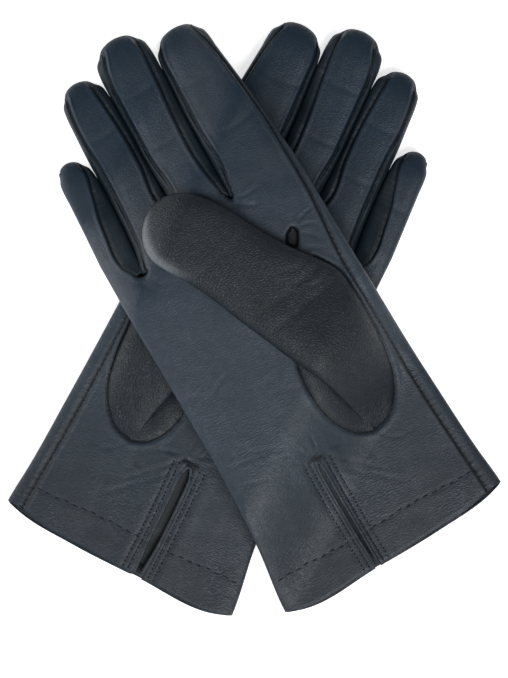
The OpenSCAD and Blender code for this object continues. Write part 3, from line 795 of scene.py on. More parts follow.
def gusset_strip(k, toward, face):
    """Side wall of a finger: rows from root to tip, columns from the face's seam down to the back."""
    seam = face[:, -1] if toward > 0 else face[:, 0]
    v = seam[:, 1][:, None]
    edge = seam[:, 0][:, None]
    top = seam[:, 2][:, None]
    from_root = v - v[0]
    outer = gap_side(k, toward, v)
    low = finger_centre(k, v) + toward * finger_half(k, v) * 0.93
    valley = mix(top - 1.6, half_thick(v), smooth((from_root + 1) / 16))
    q = np.linspace(0, 1, 12)[None, :]
    upper_u = mix(edge, outer, np.sin(q * math.pi / 2))
    upper_z = mix(valley, top, np.cos(q * math.pi / 2))
    away = np.abs(upper_u - edge)
    relief = seam_relief(away, v, 0.9, 0.0) * smooth((SHAPES[k][4] - v) / 3) * smooth(away * 3)
    fold = np.sin(math.pi * q) * (0.6 * np.sin(v / 5.3 + 2 * k) + 0.35 * np.sin(v / 2.3 + k) - 0.3)
    upper_z = upper_z + relief + 0.6 * fold * smooth((SHAPES[k][4] - 12 - v) / 12)
    upper_z[:, 0] = seam[:, 2]
    q2 = np.linspace(0, 1, 5)[None, 1:]
    lower_u = mix(outer, low, q2)
    lower_z = mix(valley, np.minimum(finger_z(k, low, v, -1), valley), np.sin(q2 * math.pi / 2))
    u = np.hstack([upper_u, lower_u])
    z = np.hstack([upper_z, lower_z])
    # painted light: the gusset is lighter near the top of the finger and darker deeper down in the gap,
    # stored as negative seam values
    lit = smooth(1.1 - (top - z) / mix(3.2, 6.0, tip_part(k, v)))
    mark = bell(u - edge, 0.45) * (z > half_thick(v))
    return points_at(u, v, z), np.where(mark > 0.3, mark, -lit)


def gap_wall(k, palm):
    """Bottom of the gap between finger k and its neighbour, along the edge of the palm."""
    a, b = gap_columns(k)
    edge = palm[-1, a:b + 1]
    q = np.r_[np.linspace(0, 1, 8), np.linspace(1, 2, 5)[1:]][None, :]
    floor = palm_z(edge[:, 0], edge[:, 1], -1)[:, None]
    middle = half_thick(edge[:, 1])[:, None]
    z = np.where(q <= 1, mix(edge[:, 2][:, None], middle, q), mix(middle, floor, q - 1))
    v = edge[:, 1][:, None] + 0.7 * np.sin(q * math.pi / 2)
    return points_at(edge[:, :1], v, z)


# ---------------------------------------------------------------- the thumb

THUMB_STEPS = 150
THUMB_AROUND = 40
THUMB_SEWN = 0.42     # share of the thumb's outline along which its right side is sewn down
THUMB_SUNK = 1.3      # how far that sewn side is drawn into the palm
THUMB_SKIN = 0.4      # least distance between the thumb's top and its underside
THUMB_GROUND = 8.4    # the thumb doesn't lie lower than this, also past the palm's edge


def thumb_rows():
    left, right = path(THUMB_LEFT, THUMB_STEPS), path(THUMB_RIGHT, THUMB_STEPS)
    s = np.linspace(0, 1, THUMB_STEPS)[:, None]
    return left, right, s


THUMB_ROOT = (27.0, 83.5)
THUMB_LEAN = 25.0
LEAN_CHANGE = {"left": -13.0, "right": 0.0}   # the lower glove's thumb lies straighter, under the upper one


def leaned(side, grid):
    """Turns the free part of the thumb about its root by the glove's own amount."""
    u, v = grid[..., 0] - THUMB_ROOT[0], grid[..., 1] - THUMB_ROOT[1]
    along = turned(u, v, -THUMB_LEAN)[1]
    angle = np.radians(LEAN_CHANGE[side]) * smooth((along - 2) / 34)
    c, s = np.cos(angle), np.sin(angle)
    return np.stack([THUMB_ROOT[0] + u * c - v * s, THUMB_ROOT[1] + u * s + v * c, grid[..., 2]], axis=-1)


def thumb_grid():
    """The whole thumb: sewn down along its right side at the base, folded and free towards the tip."""
    left, right, s = thumb_rows()
    turn = np.linspace(0, math.pi, THUMB_AROUND)[None, :]
    x = -np.cos(turn)
    middle, reach = (left + right) / 2, (right - left) / 2
    u = middle[:, :1] + reach[:, :1] * x
    v = middle[:, 1:] + reach[:, 1:] * x
    free = smooth((s - THUMB_SEWN) / 0.2)
    full = smooth(s / 0.3) ** 0.8 * oval(np.clip((s - 0.8) / 0.2, 0, 1), 2.3)
    ground = np.maximum(palm_z(u, v), THUMB_GROUND) + waviness(u, v) * (1 - free)
    rise = THUMB_FLAT * 0.5 * full
    edge_left = ground + rise * smooth(s / 0.18) + 0.2
    edge_right = ground + mix(-THUMB_SUNK, rise + 0.2, free)
    edge = mix(edge_left, edge_right, (x + 1) / 2)
    crest = mix(0.74, 0.5, free) * THUMB_FLAT * full * oval(x, 2.5)
    z = edge + crest + thumb_relief(u, v, x, s) * smooth(full * 1.5)
    # painted highlight along the left edge of the thumb's tip, stored as negative seam values
    painted_light_share = 0.8 * bell(x + 0.93, 0.12) * smooth((s - 0.66) / 0.12) * smooth((0.965 - s) / 0.06)
    mark = bell((1 - x) * reach[:, :1], 0.7) * (1 - free) - painted_light_share
    top = points_at(u, v, z)
    under_z = edge - 0.48 * THUMB_FLAT * full * oval(x, 4) * free
    under_z = np.minimum(np.maximum(under_z, palm_z(u, v) + 0.25), z - THUMB_SKIN)
    under = points_at(u, v, under_z)
    under[:, 0] = top[:, 0]
    under[:, -1] = top[:, -1]
    return top, mark, under[:, ::-1]


def thumb_relief(u, v, x, s):
    """Soft folds across the thumb and the faint dents of leather that has been flattened."""
    out = 0.25 * np.sin(u / 9 + v / 14) * np.sin(v / 11 - u / 17) + 0.1 * np.sin(u / 4.3 - v / 6.1)
    for height, depth in ((0.44, 0.22), (0.5, 0.16), (0.7, 0.14)):
        out -= depth * bell((s - height - 0.03 * x) * 140, 1.6) * smooth((1 - np.abs(x)) * 4)
    for line, width, depth in THUMB_CREASES:
        near, _ = distance_to(u, v, line)
        out -= depth * bell(near, width)
    return out


THUMB_CREASES = (
    (stroke((36, 118), (30, 116), (24, 117)), 1.1, 0.22),
    (stroke((34, 124), (28, 121), (21, 121)), 1.1, 0.2),
    (stroke((30, 128), (25, 126), (19, 128)), 1.1, 0.16),
    (stroke((-27, 166), (-22, 168), (-14, 168), (-10, 166)), 0.9, 0.14),
    (stroke((19, 50), (21, 58), (26, 66)), 1.3, 0.18),
)


def inner_wall():
    """The strip of thumb leather that shows between the thumb's fold and the seam of the thumb hole."""
    seam, fold = path(HOLE_SIDE, 70), path(THUMB_LEFT[:6], 70)
    q = np.linspace(0, 1, 12)[None, :]
    t = np.linspace(0, 1, 70)[:, None]
    reach = 3.4 * smooth(t * 5)
    u = mix(seam[:, :1], fold[:, :1] + reach, q)
    v = mix(seam[:, 1:], fold[:, 1:] + 0.4 * reach, q)
    z = palm_z(u, v) + waviness(u, v) + 0.18 - 0.55 * bell(q * 9, 0.9)
    z = z + 0.55 * np.sin(math.pi * np.clip(q * 1.15, 0, 1)) * smooth(t * 4)
    # painted shade: the strip darkens towards the thumb's fold, under which it lies, besides the dark of
    # its seam
    mark = bell(np.hypot(u - seam[:, :1], v - seam[:, 1:]), 0.8) + 0.7 * smooth((q - 0.55) * 2.4)
    return points_at(u, v, z), np.clip(mark, 0, 1)


# ---------------------------------------------------------------- trim and linings

def hem_band(side):
    """The cuff's turned-in hem: round the edge and up the inside, broken at the vent."""
    x = np.r_[np.linspace(1, -1, 120), np.linspace(-1, 1, 60)[1:]][None, :]
    face = np.r_[np.ones(120), -np.ones(59)][None, :]
    share = (x + 1) / 2
    edge = curve(CUFF_EDGE, share)
    profile = ((0.1, 0.55), (-0.35, 0.7), (-0.5, 1.1), (-0.3, 1.5), (0.3, 1.7), (3, 1.75), (15.5, 1.75))
    rows = []
    for up, inset in profile:
        v = edge + up
        low, high = low_edge(v) + inset, high_edge(v) - inset
        u = mix(low, high, share)
        z = np.where(face > 0, palm_z(u, v, 1, inset), palm_z(u, v, -1, inset))
        rows.append(np.concatenate([u, v, z]).T)
    grid = np.array(rows)
    vent = np.abs(grid[:, :, 0] - vent_centre(grid[:, :, 1])) < VENT_HALF[side] + 0.4
    keep = ~((vent[:-1, :-1] | vent[1:, 1:]) & (face[:, :-1] > 0))
    return grid, keep


def tube_rows(outline, heights, around=24):
    """Rings of a flattened tube; outline(v) gives centre, half width, middle height and half thickness."""
    turn = np.linspace(0, 2 * math.pi, around + 1)
    rows = []
    for v in heights:
        c, h, mid, b = outline(v)
        squared = np.sign(np.cos(turn)) * np.abs(np.cos(turn)) ** 0.6
        rows.append(np.stack([c + h * squared, np.full_like(turn, v),
                              mid + b * np.sign(np.sin(turn)) * np.abs(np.sin(turn)) ** 0.6], axis=1))
    return np.array(rows)


def hand_lining_grid():
    def outline(v):
        low, high = low_edge(v) + 2.2, high_edge(v) - 2.2
        b = half_thick(v)
        under_hem = 0.9 * smooth((18 - v) / 2)
        return (low + high) / 2, (high - low) / 2, b, b - LEATHER - INNER_GAP - 0.55 - under_hem
    return tube_rows(outline, np.linspace(2, 150, 70), 96)


def finger_lining_grid(k, side):
    start, tip = HINGES[side][k] - SPLIT + 1, SHAPES[k][4] - 2.5
    aside, share = (-1.6, 0.62) if k == LITTLE else (0.0, 0.84)   # the little finger's gusset is wide

    def outline(v):
        b = half_thick(v)
        return (finger_centre(k, v) + aside, finger_half(k, v) * share, b,
                max(0.3, (b - 1.8) * oval(tip_part(k, v), 2)))
    return tube_rows(outline, np.linspace(start, tip, 24), 20)


THUMB_LINED = slice(55, 142, 3)   # the rows of the thumb that its lining follows


def thumb_lining_grid():
    """The lining keeps between the thumb's top and its underside, away from its two folds."""
    top, _, under = thumb_grid()
    top, under = top[THUMB_LINED, 6:-6], under[THUMB_LINED, -7:5:-1]
    middle = (top[..., 2] + under[..., 2]) / 2
    half = np.maximum((top[..., 2] - under[..., 2]) / 2 - 0.7, 0.12)
    upper = points_at(top[..., 0], top[..., 1], middle + half)
    lower = points_at(top[..., 0], top[..., 1], middle - half)
    return np.concatenate([upper, lower[:, ::-1], upper[:, :1]], axis=1)


def sweep(points, width, height, sides=8):
    """A soft rounded strip along a line of points; its cross-section is an ellipse."""
    p = np.asarray(points, float)
    along = np.gradient(p[:, :2], axis=0)
    along /= np.linalg.norm(along, axis=1, keepdims=True)
    across = np.stack([-along[:, 1], along[:, 0]], axis=1)
    turn = np.linspace(0, 2 * math.pi, sides + 1)
    u = p[:, 0:1] + across[:, 0:1] * width * np.cos(turn)
    v = p[:, 1:2] + across[:, 1:2] * width * np.cos(turn)
    z = p[:, 2:3] + height * np.sin(turn)
    return points_at(u, v, z)


def vent_edge_line(side):
    """Up one edge of the vent, over its top and down the other edge."""
    v = np.linspace(-3.2, VENT_TOP - 1.2, 90)
    half = vent_opening(side, v) + VENT_BINDING[0]
    left = np.stack([vent_centre(v) - half, v], axis=1)
    right = np.stack([vent_centre(v) + half, v], axis=1)
    line = np.vstack([left, right[::-1]])
    return np.column_stack([line, palm_surface(side, line[:, 0], line[:, 1]) + 0.1])


def stitches(side, spots, length, width=0.3, height=0.24):
    """Threads as small spindles: spots are (u, v, angle in degrees)."""
    turn = np.linspace(0, 2 * math.pi, 7)[:-1]
    steps = np.array([-1, -0.85, -0.45, 0, 0.45, 0.85, 1])
    girth = np.array([0.05, 0.62, 0.95, 1, 0.95, 0.62, 0.05])
    grids = []
    for u, v, angle in spots:
        du, dv = turned(steps * length / 2, 0 * steps, angle)
        su, sv = turned(0 * steps, steps * 0 + 1, angle)
        cu = u + du
        cv = v + dv
        ground = palm_surface(side, cu, cv)
        arch = ground + 0.06 + 0.1 * (1 - steps**2)
        pu = cu[:, None] + su[:, None] * width * girth[:, None] * np.cos(turn)
        pv = cv[:, None] + sv[:, None] * width * girth[:, None] * np.cos(turn)
        pz = arch[:, None] + height * girth[:, None] * np.sin(turn)
        ring = points_at(pu, pv, pz)
        grids.append(np.concatenate([ring, ring[:, :1]], axis=1))
    return grids


def hem_spots():
    out = []
    for i, u in enumerate(np.arange(-49.5, 47, HEM_STITCH_PITCH)):
        if abs(u - VENT_U) > 7.5:
            v = HEM_V + 0.5 * math.sin(u / HEM_SWAY) + 0.25 * math.sin(i * 2.4)
            out.append((u, v, 3 * math.sin(i * 1.7)))
    return out


def vent_spots(side):
    out = []
    for i, v in enumerate(np.arange(VENT_STITCH_START, VENT_TOP - 1, VENT_STITCH_PITCH)):
        for toward in (-1, 1):
            for reach in VENT_ROWS:
                u = vent_centre(v) + toward * (VENT_HALF[side] + reach)
                lean = 90 + 5 * math.sin(i * 1.3)
                out.append((float(u), v + 0.3 * math.sin(i * 2.1 + reach), lean))
    return out


def seam_spots():
    heights = np.arange(0, SIDE_STITCHED, SIDE_STITCH_PITCH)
    return [(float(curve(SIDE_SEAM, v)) - 0.35, v, 90.0) for v in heights]


def quirk_grid(side):
    """The small pointed piece at the bottom of the quirk, sunk into the palm and darkened with painted
    shadow.
    """
    outline = path(QUIRK, 28)
    centre = outline.mean(axis=0)
    s = np.linspace(0.05, 0.9, 8)[:, None, None]
    p = centre + (outline - centre) * s
    z = palm_surface(side, p[..., 0], p[..., 1]) + 0.6
    # painted shadow: the patch darkens towards its thumb side and the cuff, on top of an even darkening
    shade = smooth((p[..., 0] - 27) / 2) * smooth((140.5 - p[..., 1]) / 3)
    return np.concatenate([p, z[..., None]], axis=-1), 0.4 + 0.6 * shade


# ---------------------------------------------------------------- materials

def linear(*rgb):
    """An 8-bit sRGB colour as linear RGBA."""
    parts = [c / 255 for c in rgb]
    return tuple(c / 12.92 if c <= 0.04045 else ((c + 0.055) / 1.055) ** 2.4 for c in parts) + (1.0,)


SEAM_SHADE = linear(6, 9, 12)
FINGER_SHADE_SPAN = (120, 185)   # heights on the glove between which the painted shade of the fingers and of the cuff sets in
CUFF_SHADE_SPAN = (80, 10)


class Recipe:
    """A node material being put together; sockets and plain values can both be given as inputs."""

    def __init__(self, name, **shader):
        self.material = bpy.data.materials.new(name)
        self.material.use_nodes = True
        self.tree = self.material.node_tree
        self.bsdf = self.tree.nodes["Principled BSDF"]
        for key, value in shader.items():
            self.bsdf.inputs[key.replace("_", " ")].default_value = value

    def add(self, kind, inputs=(), **settings):
        node = self.tree.nodes.new("ShaderNode" + kind)
        for key, value in settings.items():
            setattr(node, key, value)
        for key, value in dict(inputs).items():
            self.give(node.inputs[key], value)
        return node

    def give(self, socket, value):
        if isinstance(value, bpy.types.NodeSocket):
            self.tree.links.new(value, socket)
        else:
            socket.default_value = value

    def skin(self, scale=(1, 1, 1)):
        """The point's place on the glove in millimetres, stretched by scale."""
        where = self.add("Attribute", attribute_name="skin").outputs["Vector"]
        return self.add("Mapping", {"Vector": where, "Scale": scale}).outputs["Vector"]

    def noise(self, scale, detail=3.0, stretch=(1, 1, 1), roughness=0.55):
        return self.add("TexNoise", {"Vector": self.skin(stretch), "Scale": scale, "Detail": detail,
                                     "Roughness": roughness}).outputs["Fac"]

    def cells(self, size, feature="DISTANCE_TO_EDGE", stretch=(1, 1, 1)):
        """Cell pattern of about this size in millimetres, with its outlines bent a little."""
        bend = self.add("TexNoise", {"Vector": self.skin(), "Scale": 0.6 / size, "Detail": 2.0})
        offset = self.add("VectorMath", {0: bend.outputs["Color"], "Scale": 0.9 * size}, operation="SCALE")
        moved = self.add("VectorMath", {0: self.skin(stretch), 1: offset.outputs[0]}, operation="ADD")
        return self.add("TexVoronoi", {"Vector": moved.outputs[0], "Scale": 1 / size},
                        feature=feature).outputs["Distance"]

    def spread(self, value, low, high, to_low=0.0, to_high=1.0):
        return self.add("MapRange", {"Value": value, "From Min": low, "From Max": high,
                                     "To Min": to_low, "To Max": to_high}).outputs["Result"]

    def mix(self, factor, a, b, blend="MIX"):
        node = self.add("Mix", data_type="RGBA", blend_type=blend)
        self.give(node.inputs[0], factor)
        self.give(node.inputs[6], a)
        self.give(node.inputs[7], b)
        return node.outputs[2]

    def blend_values(self, share, a, b):
        """Plain average of two values, with this share of the second."""
        return self.maths("ADD", self.maths("MULTIPLY", b, share), self.maths("MULTIPLY", a, 1 - share))

    def maths(self, operation, a, b):
        return self.add("Math", {0: a, 1: b}, operation=operation).outputs[0]

    def bump(self, height, distance_mm, under=None):
        inputs = {"Height": height, "Distance": distance_mm * MM, "Strength": 1.0}
        if under is not None:
            inputs["Normal"] = under
        return self.add("Bump", inputs).outputs["Normal"]

    def finish(self, colour, roughness, normal):
        self.give(self.bsdf.inputs["Base Color"], colour)
        self.give(self.bsdf.inputs["Roughness"], roughness)
        self.give(self.bsdf.inputs["Normal"], normal)
        return self.material


def leather_recipe(name, dark, light, wear_and_painted_light, grain, grain_depth, roughness, mottling=0.5, gloss=0.34,
                   wrinkle_depth=0.03, finger_painted_shade=(1, 1, 1), cuff_painted_shade=1.0):
    """Smooth glove leather: fine grain, stretched wrinkles, soft mottling and dark seams, and where asked
    painted shade towards the fingertips and the cuff.

    grain is the size of its cells and grain_depth and wrinkle_depth are heights, all in millimetres.
    A negative seam value brings out the third colour instead, which on leather is painted light: a painted
    highlight on the thumb's tip and lighter gusset leather near the finger faces.
    """
    r = Recipe(name, Specular_IOR_Level=gloss)
    seam = r.add("Attribute", attribute_name="seam").outputs["Fac"]
    clouds = r.noise(0.045, 4.0)
    patches = r.noise(0.3, 5.0)
    grain_cells = r.cells(grain)
    fine = r.noise(2.2, 3.0)
    wrinkles = r.cells(1.3, stretch=(0.4, 1.1, 1))
    tone = r.blend_values(mottling, patches, clouds)
    colour = r.mix(r.spread(tone, 0.36, 0.64), dark, light)
    colour = r.mix(r.spread(grain_cells, 0.0, 0.16, 0.28, 0.0), colour, dark)
    colour = r.mix(r.spread(fine, 0.42, 0.72, 0.0, 0.22), colour, light)
    along = r.add("SeparateXYZ", {"Vector": r.skin()}).outputs["Y"]
    # painted shade: the colour is multiplied darker towards the fingertips and towards the cuff edge
    colour = r.mix(r.spread(along, *FINGER_SHADE_SPAN), colour, (*finger_painted_shade, 1), "MULTIPLY")
    colour = r.mix(r.spread(along, *CUFF_SHADE_SPAN), colour, (cuff_painted_shade, cuff_painted_shade, cuff_painted_shade, 1), "MULTIPLY")
    colour = r.mix(r.spread(seam, 0.0, 1.0, 0.0, 0.85), colour, SEAM_SHADE)
    # painted light: negative seam values lift the colour towards the third colour, in patches
    patchy = r.spread(r.noise(1.6, 3.0), 0.25, 0.7, 0.35, 1.0)
    painted_light_share = r.maths("MULTIPLY", r.spread(seam, 0.0, -0.9), patchy)
    colour = r.mix(painted_light_share, colour, wear_and_painted_light)
    rough = r.spread(tone, 0.3, 0.7, roughness + 0.07, roughness - 0.07)
    loose = r.maths("MULTIPLY", r.spread(clouds, 0.4, 0.62, 0.25, 1.0), r.spread(along, 95, 165, 1.0, 0.12))
    normal = r.bump(r.maths("MULTIPLY", r.spread(wrinkles, 0.0, 0.3), loose), wrinkle_depth)
    normal = r.bump(r.spread(grain_cells, 0.0, 0.22), grain_depth, normal)
    normal = r.bump(fine, grain_depth * 0.8, normal)
    return r.finish(colour, rough, normal)


def lining_recipe():
    """Fine ribbed knit: columns of loops about a millimetre apart, with a soft nap."""
    r = Recipe("lining_knit", Specular_IOR_Level=0.2, Sheen_Weight=0.3)
    ribs = r.add("TexWave", {"Vector": r.skin(), "Scale": 0.9, "Distortion": 0.4, "Detail": 1.0},
                 bands_direction="X").outputs["Fac"]
    loops = r.add("TexWave", {"Vector": r.skin(), "Scale": 1.3, "Distortion": 0.8, "Detail": 1.0},
                  bands_direction="Y").outputs["Fac"]
    knit = r.maths("MULTIPLY", ribs, loops)
    fuzz = r.noise(3.0, 4.0)
    pale = r.spread(r.maths("ADD", knit, fuzz), 0.2, 1.3)
    colour = r.mix(pale, linear(26, 32, 35), linear(60, 67, 71))
    return r.finish(colour, r.spread(fuzz, 0.3, 0.7, 0.85, 1.0), r.bump(knit, 0.25, r.bump(fuzz, 0.1)))


def thread_recipe(name, dark, light, wear_and_painted_light):
    """Twisted waxed thread, with its plies showing as fine slanting lines."""
    r = Recipe(name, Specular_IOR_Level=0.35)
    plies = r.add("TexWave", {"Vector": r.skin((1, 1, 1)), "Scale": 1.6, "Distortion": 0.6},
                  bands_direction="DIAGONAL").outputs["Fac"]
    wear = r.noise(0.8, 3.0)
    colour = r.mix(r.spread(plies, 0.2, 0.9), dark, light)
    colour = r.mix(r.spread(wear, 0.5, 0.75, 0.0, 0.3), colour, wear_and_painted_light)
    return r.finish(colour, r.spread(wear, 0.3, 0.7, 0.5, 0.65), r.bump(plies, 0.08))


def floor_recipe():
    """Matt white paper, with a barely visible tooth."""
    r = Recipe("white_paper", Specular_IOR_Level=0.1, Emission_Strength=0.65, Emission_Color=(1, 1, 1, 1))
    place_on_floor = r.add("TexCoord").outputs["Object"]
    tooth = r.add("TexNoise", {"Vector": place_on_floor, "Scale": 900.0, "Detail": 3.0}).outputs["Fac"]
    colour = r.mix(r.spread(tooth, 0.3, 0.7), linear(249, 249, 249), linear(254, 254, 254))
    return r.finish(colour, r.spread(tooth, 0.3, 0.7, 0.85, 0.95), r.bump(tooth, 0.02))


MATERIALS = {
    # The navy leather carries painted shade: darker over the fingers and at the cuff.
    "navy_leather": leather_recipe("navy_leather", linear(32, 42, 52), linear(46, 56, 67),
                                   linear(94, 104, 114), 0.95, 0.05, 0.45, wrinkle_depth=0.09,
                                   finger_painted_shade=(0.2, 0.45, 0.6), cuff_painted_shade=0.6),
    # The gusset leather is darker than the navy leather, partly its own colour and partly painted shade of
    # the gaps between the fingers; its third colour is painted light near the finger faces.
    "gusset_leather": leather_recipe("gusset_leather", linear(6, 12, 17), linear(12, 20, 27),
                                     linear(22, 35, 44), 0.9, 0.045, 0.46, gloss=0.22),
    # The thumb leather's third colour is the painted highlight on the thumb's tip.
    "thumb_leather": leather_recipe("thumb_leather", linear(8, 17, 23), linear(18, 28, 36),
                                    linear(110, 116, 122), 1.15, 0.08, 0.46, mottling=0.35),
    "lining_knit": lining_recipe(),
    "thread": thread_recipe("thread", linear(6, 9, 13), linear(20, 25, 31), linear(38, 44, 51)),
}


# ---------------------------------------------------------------- pieces

def belongs(piece, side, slot, *nodes):
    """The piece rides on its glove and stands for these CAD nodes."""
    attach(piece, f"{side}_glove")
    settle(side, nodes)


def settle(side, nodes):
    if nodes:
        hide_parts(*(f"{side}_{node}" for node in nodes))


def bends(piece, side, body, start, end, slot, *nodes):
    """Bakes the piece's placement into its points and hides these CAD nodes; start and end, (u, v) on the
    glove, are not used.
    """
    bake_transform(piece)
    settle(side, nodes)


def bends_at_finger(piece, side, k, slot, *nodes):
    hinge = HINGES[side][k]
    middle = float(finger_centre(k, hinge))
    bends(piece, side, f"{FINGERS[k]}_finger_end", (middle, hinge - BEND), (middle, hinge + BEND),
          slot, *nodes)


def split_rows(grid, mark, row):
    """The hand's share and the finger's share of a grid that crosses the split line."""
    return (grid[:row + 1], mark[:row + 1]), (grid[row:], mark[row:])


def add_fingers(skin, side, palm):
    """Adds the faces and backs of the fingers, cut at their split lines, and the wrap on the thumb side."""
    faces, backs = {}, {}
    for k, finger in enumerate(FINGERS):
        rows = root_rows(k, side)
        faces[k], mark = face_grid(k, side)
        faces[k][0] = palm[-1, FACE_START[3 - k]:FACE_START[3 - k] + len(face_steps(k))]
        backs[k] = back_face_grid(k, side)
        if k == LITTLE:
            backs[k][:, 0] = faces[k][:, 0]
        if k == INDEX:
            wrap, wrap_mark = wrap_grid(side, np.vstack([palm[:, -1], faces[k][1:, -1]]))
            backs[k][:, -1] = wrap[PALM_ROWS:, -1]
        for grid, shade, flip in ((faces[k], mark, False), (backs[k], np.zeros(backs[k].shape[:2]), True)):
            hand, end = split_rows(grid, shade, rows)
            skin.add(hand[0], "hand", hand[1], flip=flip)
            skin.add(domed(k, end[0]), finger, end[1], flip=flip)
    hand, end = split_rows(wrap, wrap_mark, PALM_ROWS + root_rows(INDEX, side))
    skin.add(hand[0], "hand", hand[1])
    skin.add(domed(INDEX, end[0]), "index", end[1])
    return faces, backs, wrap


def glove_leather(side):
    """Palm, finger faces and back in one skin, cut into the hand and the four fingers."""
    material = MATERIALS["navy_leather"]
    skin = Skin(side)
    palm, palm_mark, keep = palm_grid(side)
    skin.add(palm, "hand", palm_mark, keep)
    faces, backs, wrap = add_fingers(skin, side, palm)
    skin.add(hand_back_grid(palm, wrap, backs), "hand", flip=True)
    skin.weld()
    belongs(skin.cut("hand", f"{side}_hand_skin", material), side, "navy_leather", "hand_leather")
    for k, finger in enumerate(FINGERS):
        piece = skin.cut(finger, f"{side}_{finger}_skin", material)
        bends_at_finger(piece, side, k, "navy_leather", f"{finger}_finger")
    return palm, faces


GUSSET_SIDES = {INDEX: (-1,), MIDDLE: (-1, 1), RING: (-1, 1), LITTLE: (1,)}
ROOT_GUSSETS = ("index_middle_gusset", "middle_ring_gusset", "ring_little_gusset")
END_GUSSETS = ("index_gusset", "middle_gussets", "ring_gussets", "little_gusset")


def glove_gussets(side, palm, faces):
    """The narrow strips between the fingers: a U at each gap, and a strip along each side of a finger."""
    material = MATERIALS["gusset_leather"]
    skin = Skin(side)
    for k in (INDEX, MIDDLE, RING, LITTLE):
        rows = root_rows(k, side)
        for toward in GUSSET_SIDES[k]:
            grid, mark = gusset_strip(k, toward, faces[k])
            root = ROOT_GUSSETS[k if toward < 0 else k - 1]
            hand, end = split_rows(grid, mark, rows)
            skin.add(hand[0], root, hand[1], flip=toward < 0)
            skin.add(domed(k, end[0]), END_GUSSETS[k], end[1], flip=toward < 0)
    for k, root in enumerate(ROOT_GUSSETS):
        skin.add(gap_wall(k, palm), root, flip=True)
    skin.weld()
    for root in ROOT_GUSSETS:
        belongs(skin.cut(root, f"{side}_{root}_skin", material), side, "gusset_leather", root)
    for k, name in enumerate(END_GUSSETS):
        piece = skin.cut(name, f"{side}_{name}_skin", material)
        bends_at_finger(piece, side, k, "gusset_leather", name)


def one_piece(side, name, material, *grids, keep=None):
    """A piece made of one or more (grid, mark) pairs."""
    skin = Skin(side)
    for grid, mark in grids:
        skin.add(grid, "all", mark, keep)
    return skin.weld().cut("all", name, MATERIALS[material])


THUMB_BEND = (27.0, 45.0)   # two distances along the thumb from its root, given to bends() as its start and end


def thumb_spot(along):
    du, dv = turned(0, along, THUMB_LEAN)
    return THUMB_ROOT[0] + du, THUMB_ROOT[1] + dv


def glove_thumb(side):
    top, mark, under = thumb_grid()
    thumb = one_piece(side, f"{side}_thumb_skin", "thumb_leather",
                      (leaned(side, top), mark), (leaned(side, under), None))
    lining = one_piece(side, f"{side}_thumb_knit", "lining_knit", (leaned(side, thumb_lining_grid()), None))
    if side == "right":
        start, end = (thumb_spot(along) for along in THUMB_BEND)
        bends(thumb, side, "thumb_end", start, end, "thumb_leather", "thumb", "thumb_base")
        bends(lining, side, "thumb_end", start, end, "lining_knit", "thumb_lining")
    else:
        belongs(thumb, side, "thumb_leather", "thumb", "thumb_base")
        belongs(lining, side, "lining_knit", "thumb_lining")
    belongs(one_piece(side, f"{side}_thumb_wall", "thumb_leather", inner_wall()), side, "thumb_leather")
    belongs(one_piece(side, f"{side}_quirk_patch", "gusset_leather", quirk_grid(side)), side,
            "gusset_leather", "thumb_quirk")


def glove_trim(side):
    band, keep = hem_band(side)
    rim = one_piece(side, f"{side}_cuff_rim", "navy_leather", (band, None), keep=keep)
    belongs(rim, side, "navy_leather", "cuff_facing")
    edge = sweep(vent_edge_line(side), *VENT_BINDING)
    belongs(one_piece(side, f"{side}_vent_edge", "navy_leather", (edge, None)), side,
            "navy_leather", "vent_binding")
    for name, spots, length in (("hem_stitching", hem_spots(), 2.6),
                                ("vent_stitching", vent_spots(side), 1.15),
                                ("side_seam_stitching", seam_spots(), 1.3)):
        grids = [(grid, None) for grid in stitches(side, spots, length)]
        belongs(one_piece(side, f"{side}_{name}_thread", "thread", *grids), side, "thread", name)


def glove_linings(side):
    hand = one_piece(side, f"{side}_hand_knit", "lining_knit", (hand_lining_grid(), None))
    belongs(hand, side, "lining_knit", "hand_lining")
    for k, finger in enumerate(FINGERS):
        piece = one_piece(side, f"{side}_{finger}_knit", "lining_knit", (finger_lining_grid(k, side), None))
        bends_at_finger(piece, side, k, "lining_knit", f"{finger}_lining")


for glove_side in ("left", "right"):
    palm_points, face_points = glove_leather(glove_side)
    glove_gussets(glove_side, palm_points, face_points)
    glove_thumb(glove_side)
    glove_trim(glove_side)
    glove_linings(glove_side)


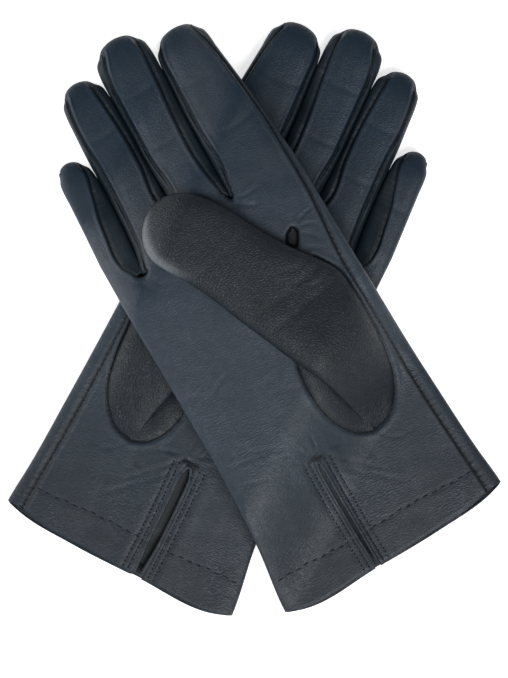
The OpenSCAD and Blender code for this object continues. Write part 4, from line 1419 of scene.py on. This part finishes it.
# ---------------------------------------------------------------- table, light and camera

TABLE_HALF = 1.5            # metres
TABLE_CLEARANCE = 0.0002    # the table lies this far below the gloves


def table_top():
    half = TABLE_HALF
    corners = np.array([(-half, -half, 0), (half, -half, 0), (half, half, 0), (-half, half, 0)])
    corners[:, 2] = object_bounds()[0][2] - TABLE_CLEARANCE
    floor = mesh_object("table_top", corners, [(0, 1, 2, 3)], floor_recipe())
    floor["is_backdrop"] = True


def soft_light(name, spot, size, power):
    """A rectangular lamp at this spot, turned to the middle of the table."""
    light = bpy.data.lights.new(name, "AREA")
    light.shape = "RECTANGLE"
    light.size, light.size_y = size
    light.energy = power
    lamp = bpy.data.objects.new(name, light)
    lamp.location = spot
    lamp.rotation_euler = (-Vector(spot)).to_track_quat("-Z", "Y").to_euler()
    bpy.context.scene.collection.objects.link(lamp)


def white_room(strength):
    world = bpy.data.worlds.new("white_room")
    world.use_nodes = True
    world.node_tree.nodes["Background"].inputs["Color"].default_value = (1, 1, 1, 1)
    world.node_tree.nodes["Background"].inputs["Strength"].default_value = strength
    bpy.context.scene.world = world


VIEW_CENTRE = (0.0, -0.0086)
VIEW_HEIGHT = 1.6
PHOTO_SCALE = 0.00044       # metres of table in one pixel of the photograph
PHOTO_SIZE = (508, 678)


def overhead_camera():
    """Straight down; the frame's longer side is its height."""
    camera = bpy.data.cameras.new("overhead")
    camera.sensor_fit = "VERTICAL"
    camera.sensor_height = 24.0
    camera.lens = camera.sensor_height * VIEW_HEIGHT / (PHOTO_SIZE[1] * PHOTO_SCALE)
    camera.clip_end = 10.0
    holder = bpy.data.objects.new("overhead", camera)
    holder.location = (*VIEW_CENTRE, VIEW_HEIGHT)
    bpy.context.scene.collection.objects.link(holder)
    bpy.context.scene.camera = holder


table_top()
white_room(0.28)
soft_light("window", (0.5, -0.95, 1.45), (1.1, 1.1), 30)
soft_light("low_left", (-1.3, 0.1, 0.5), (0.4, 1.2), 12)
bpy.context.scene.view_settings.view_transform = "Standard"
overhead_camera()
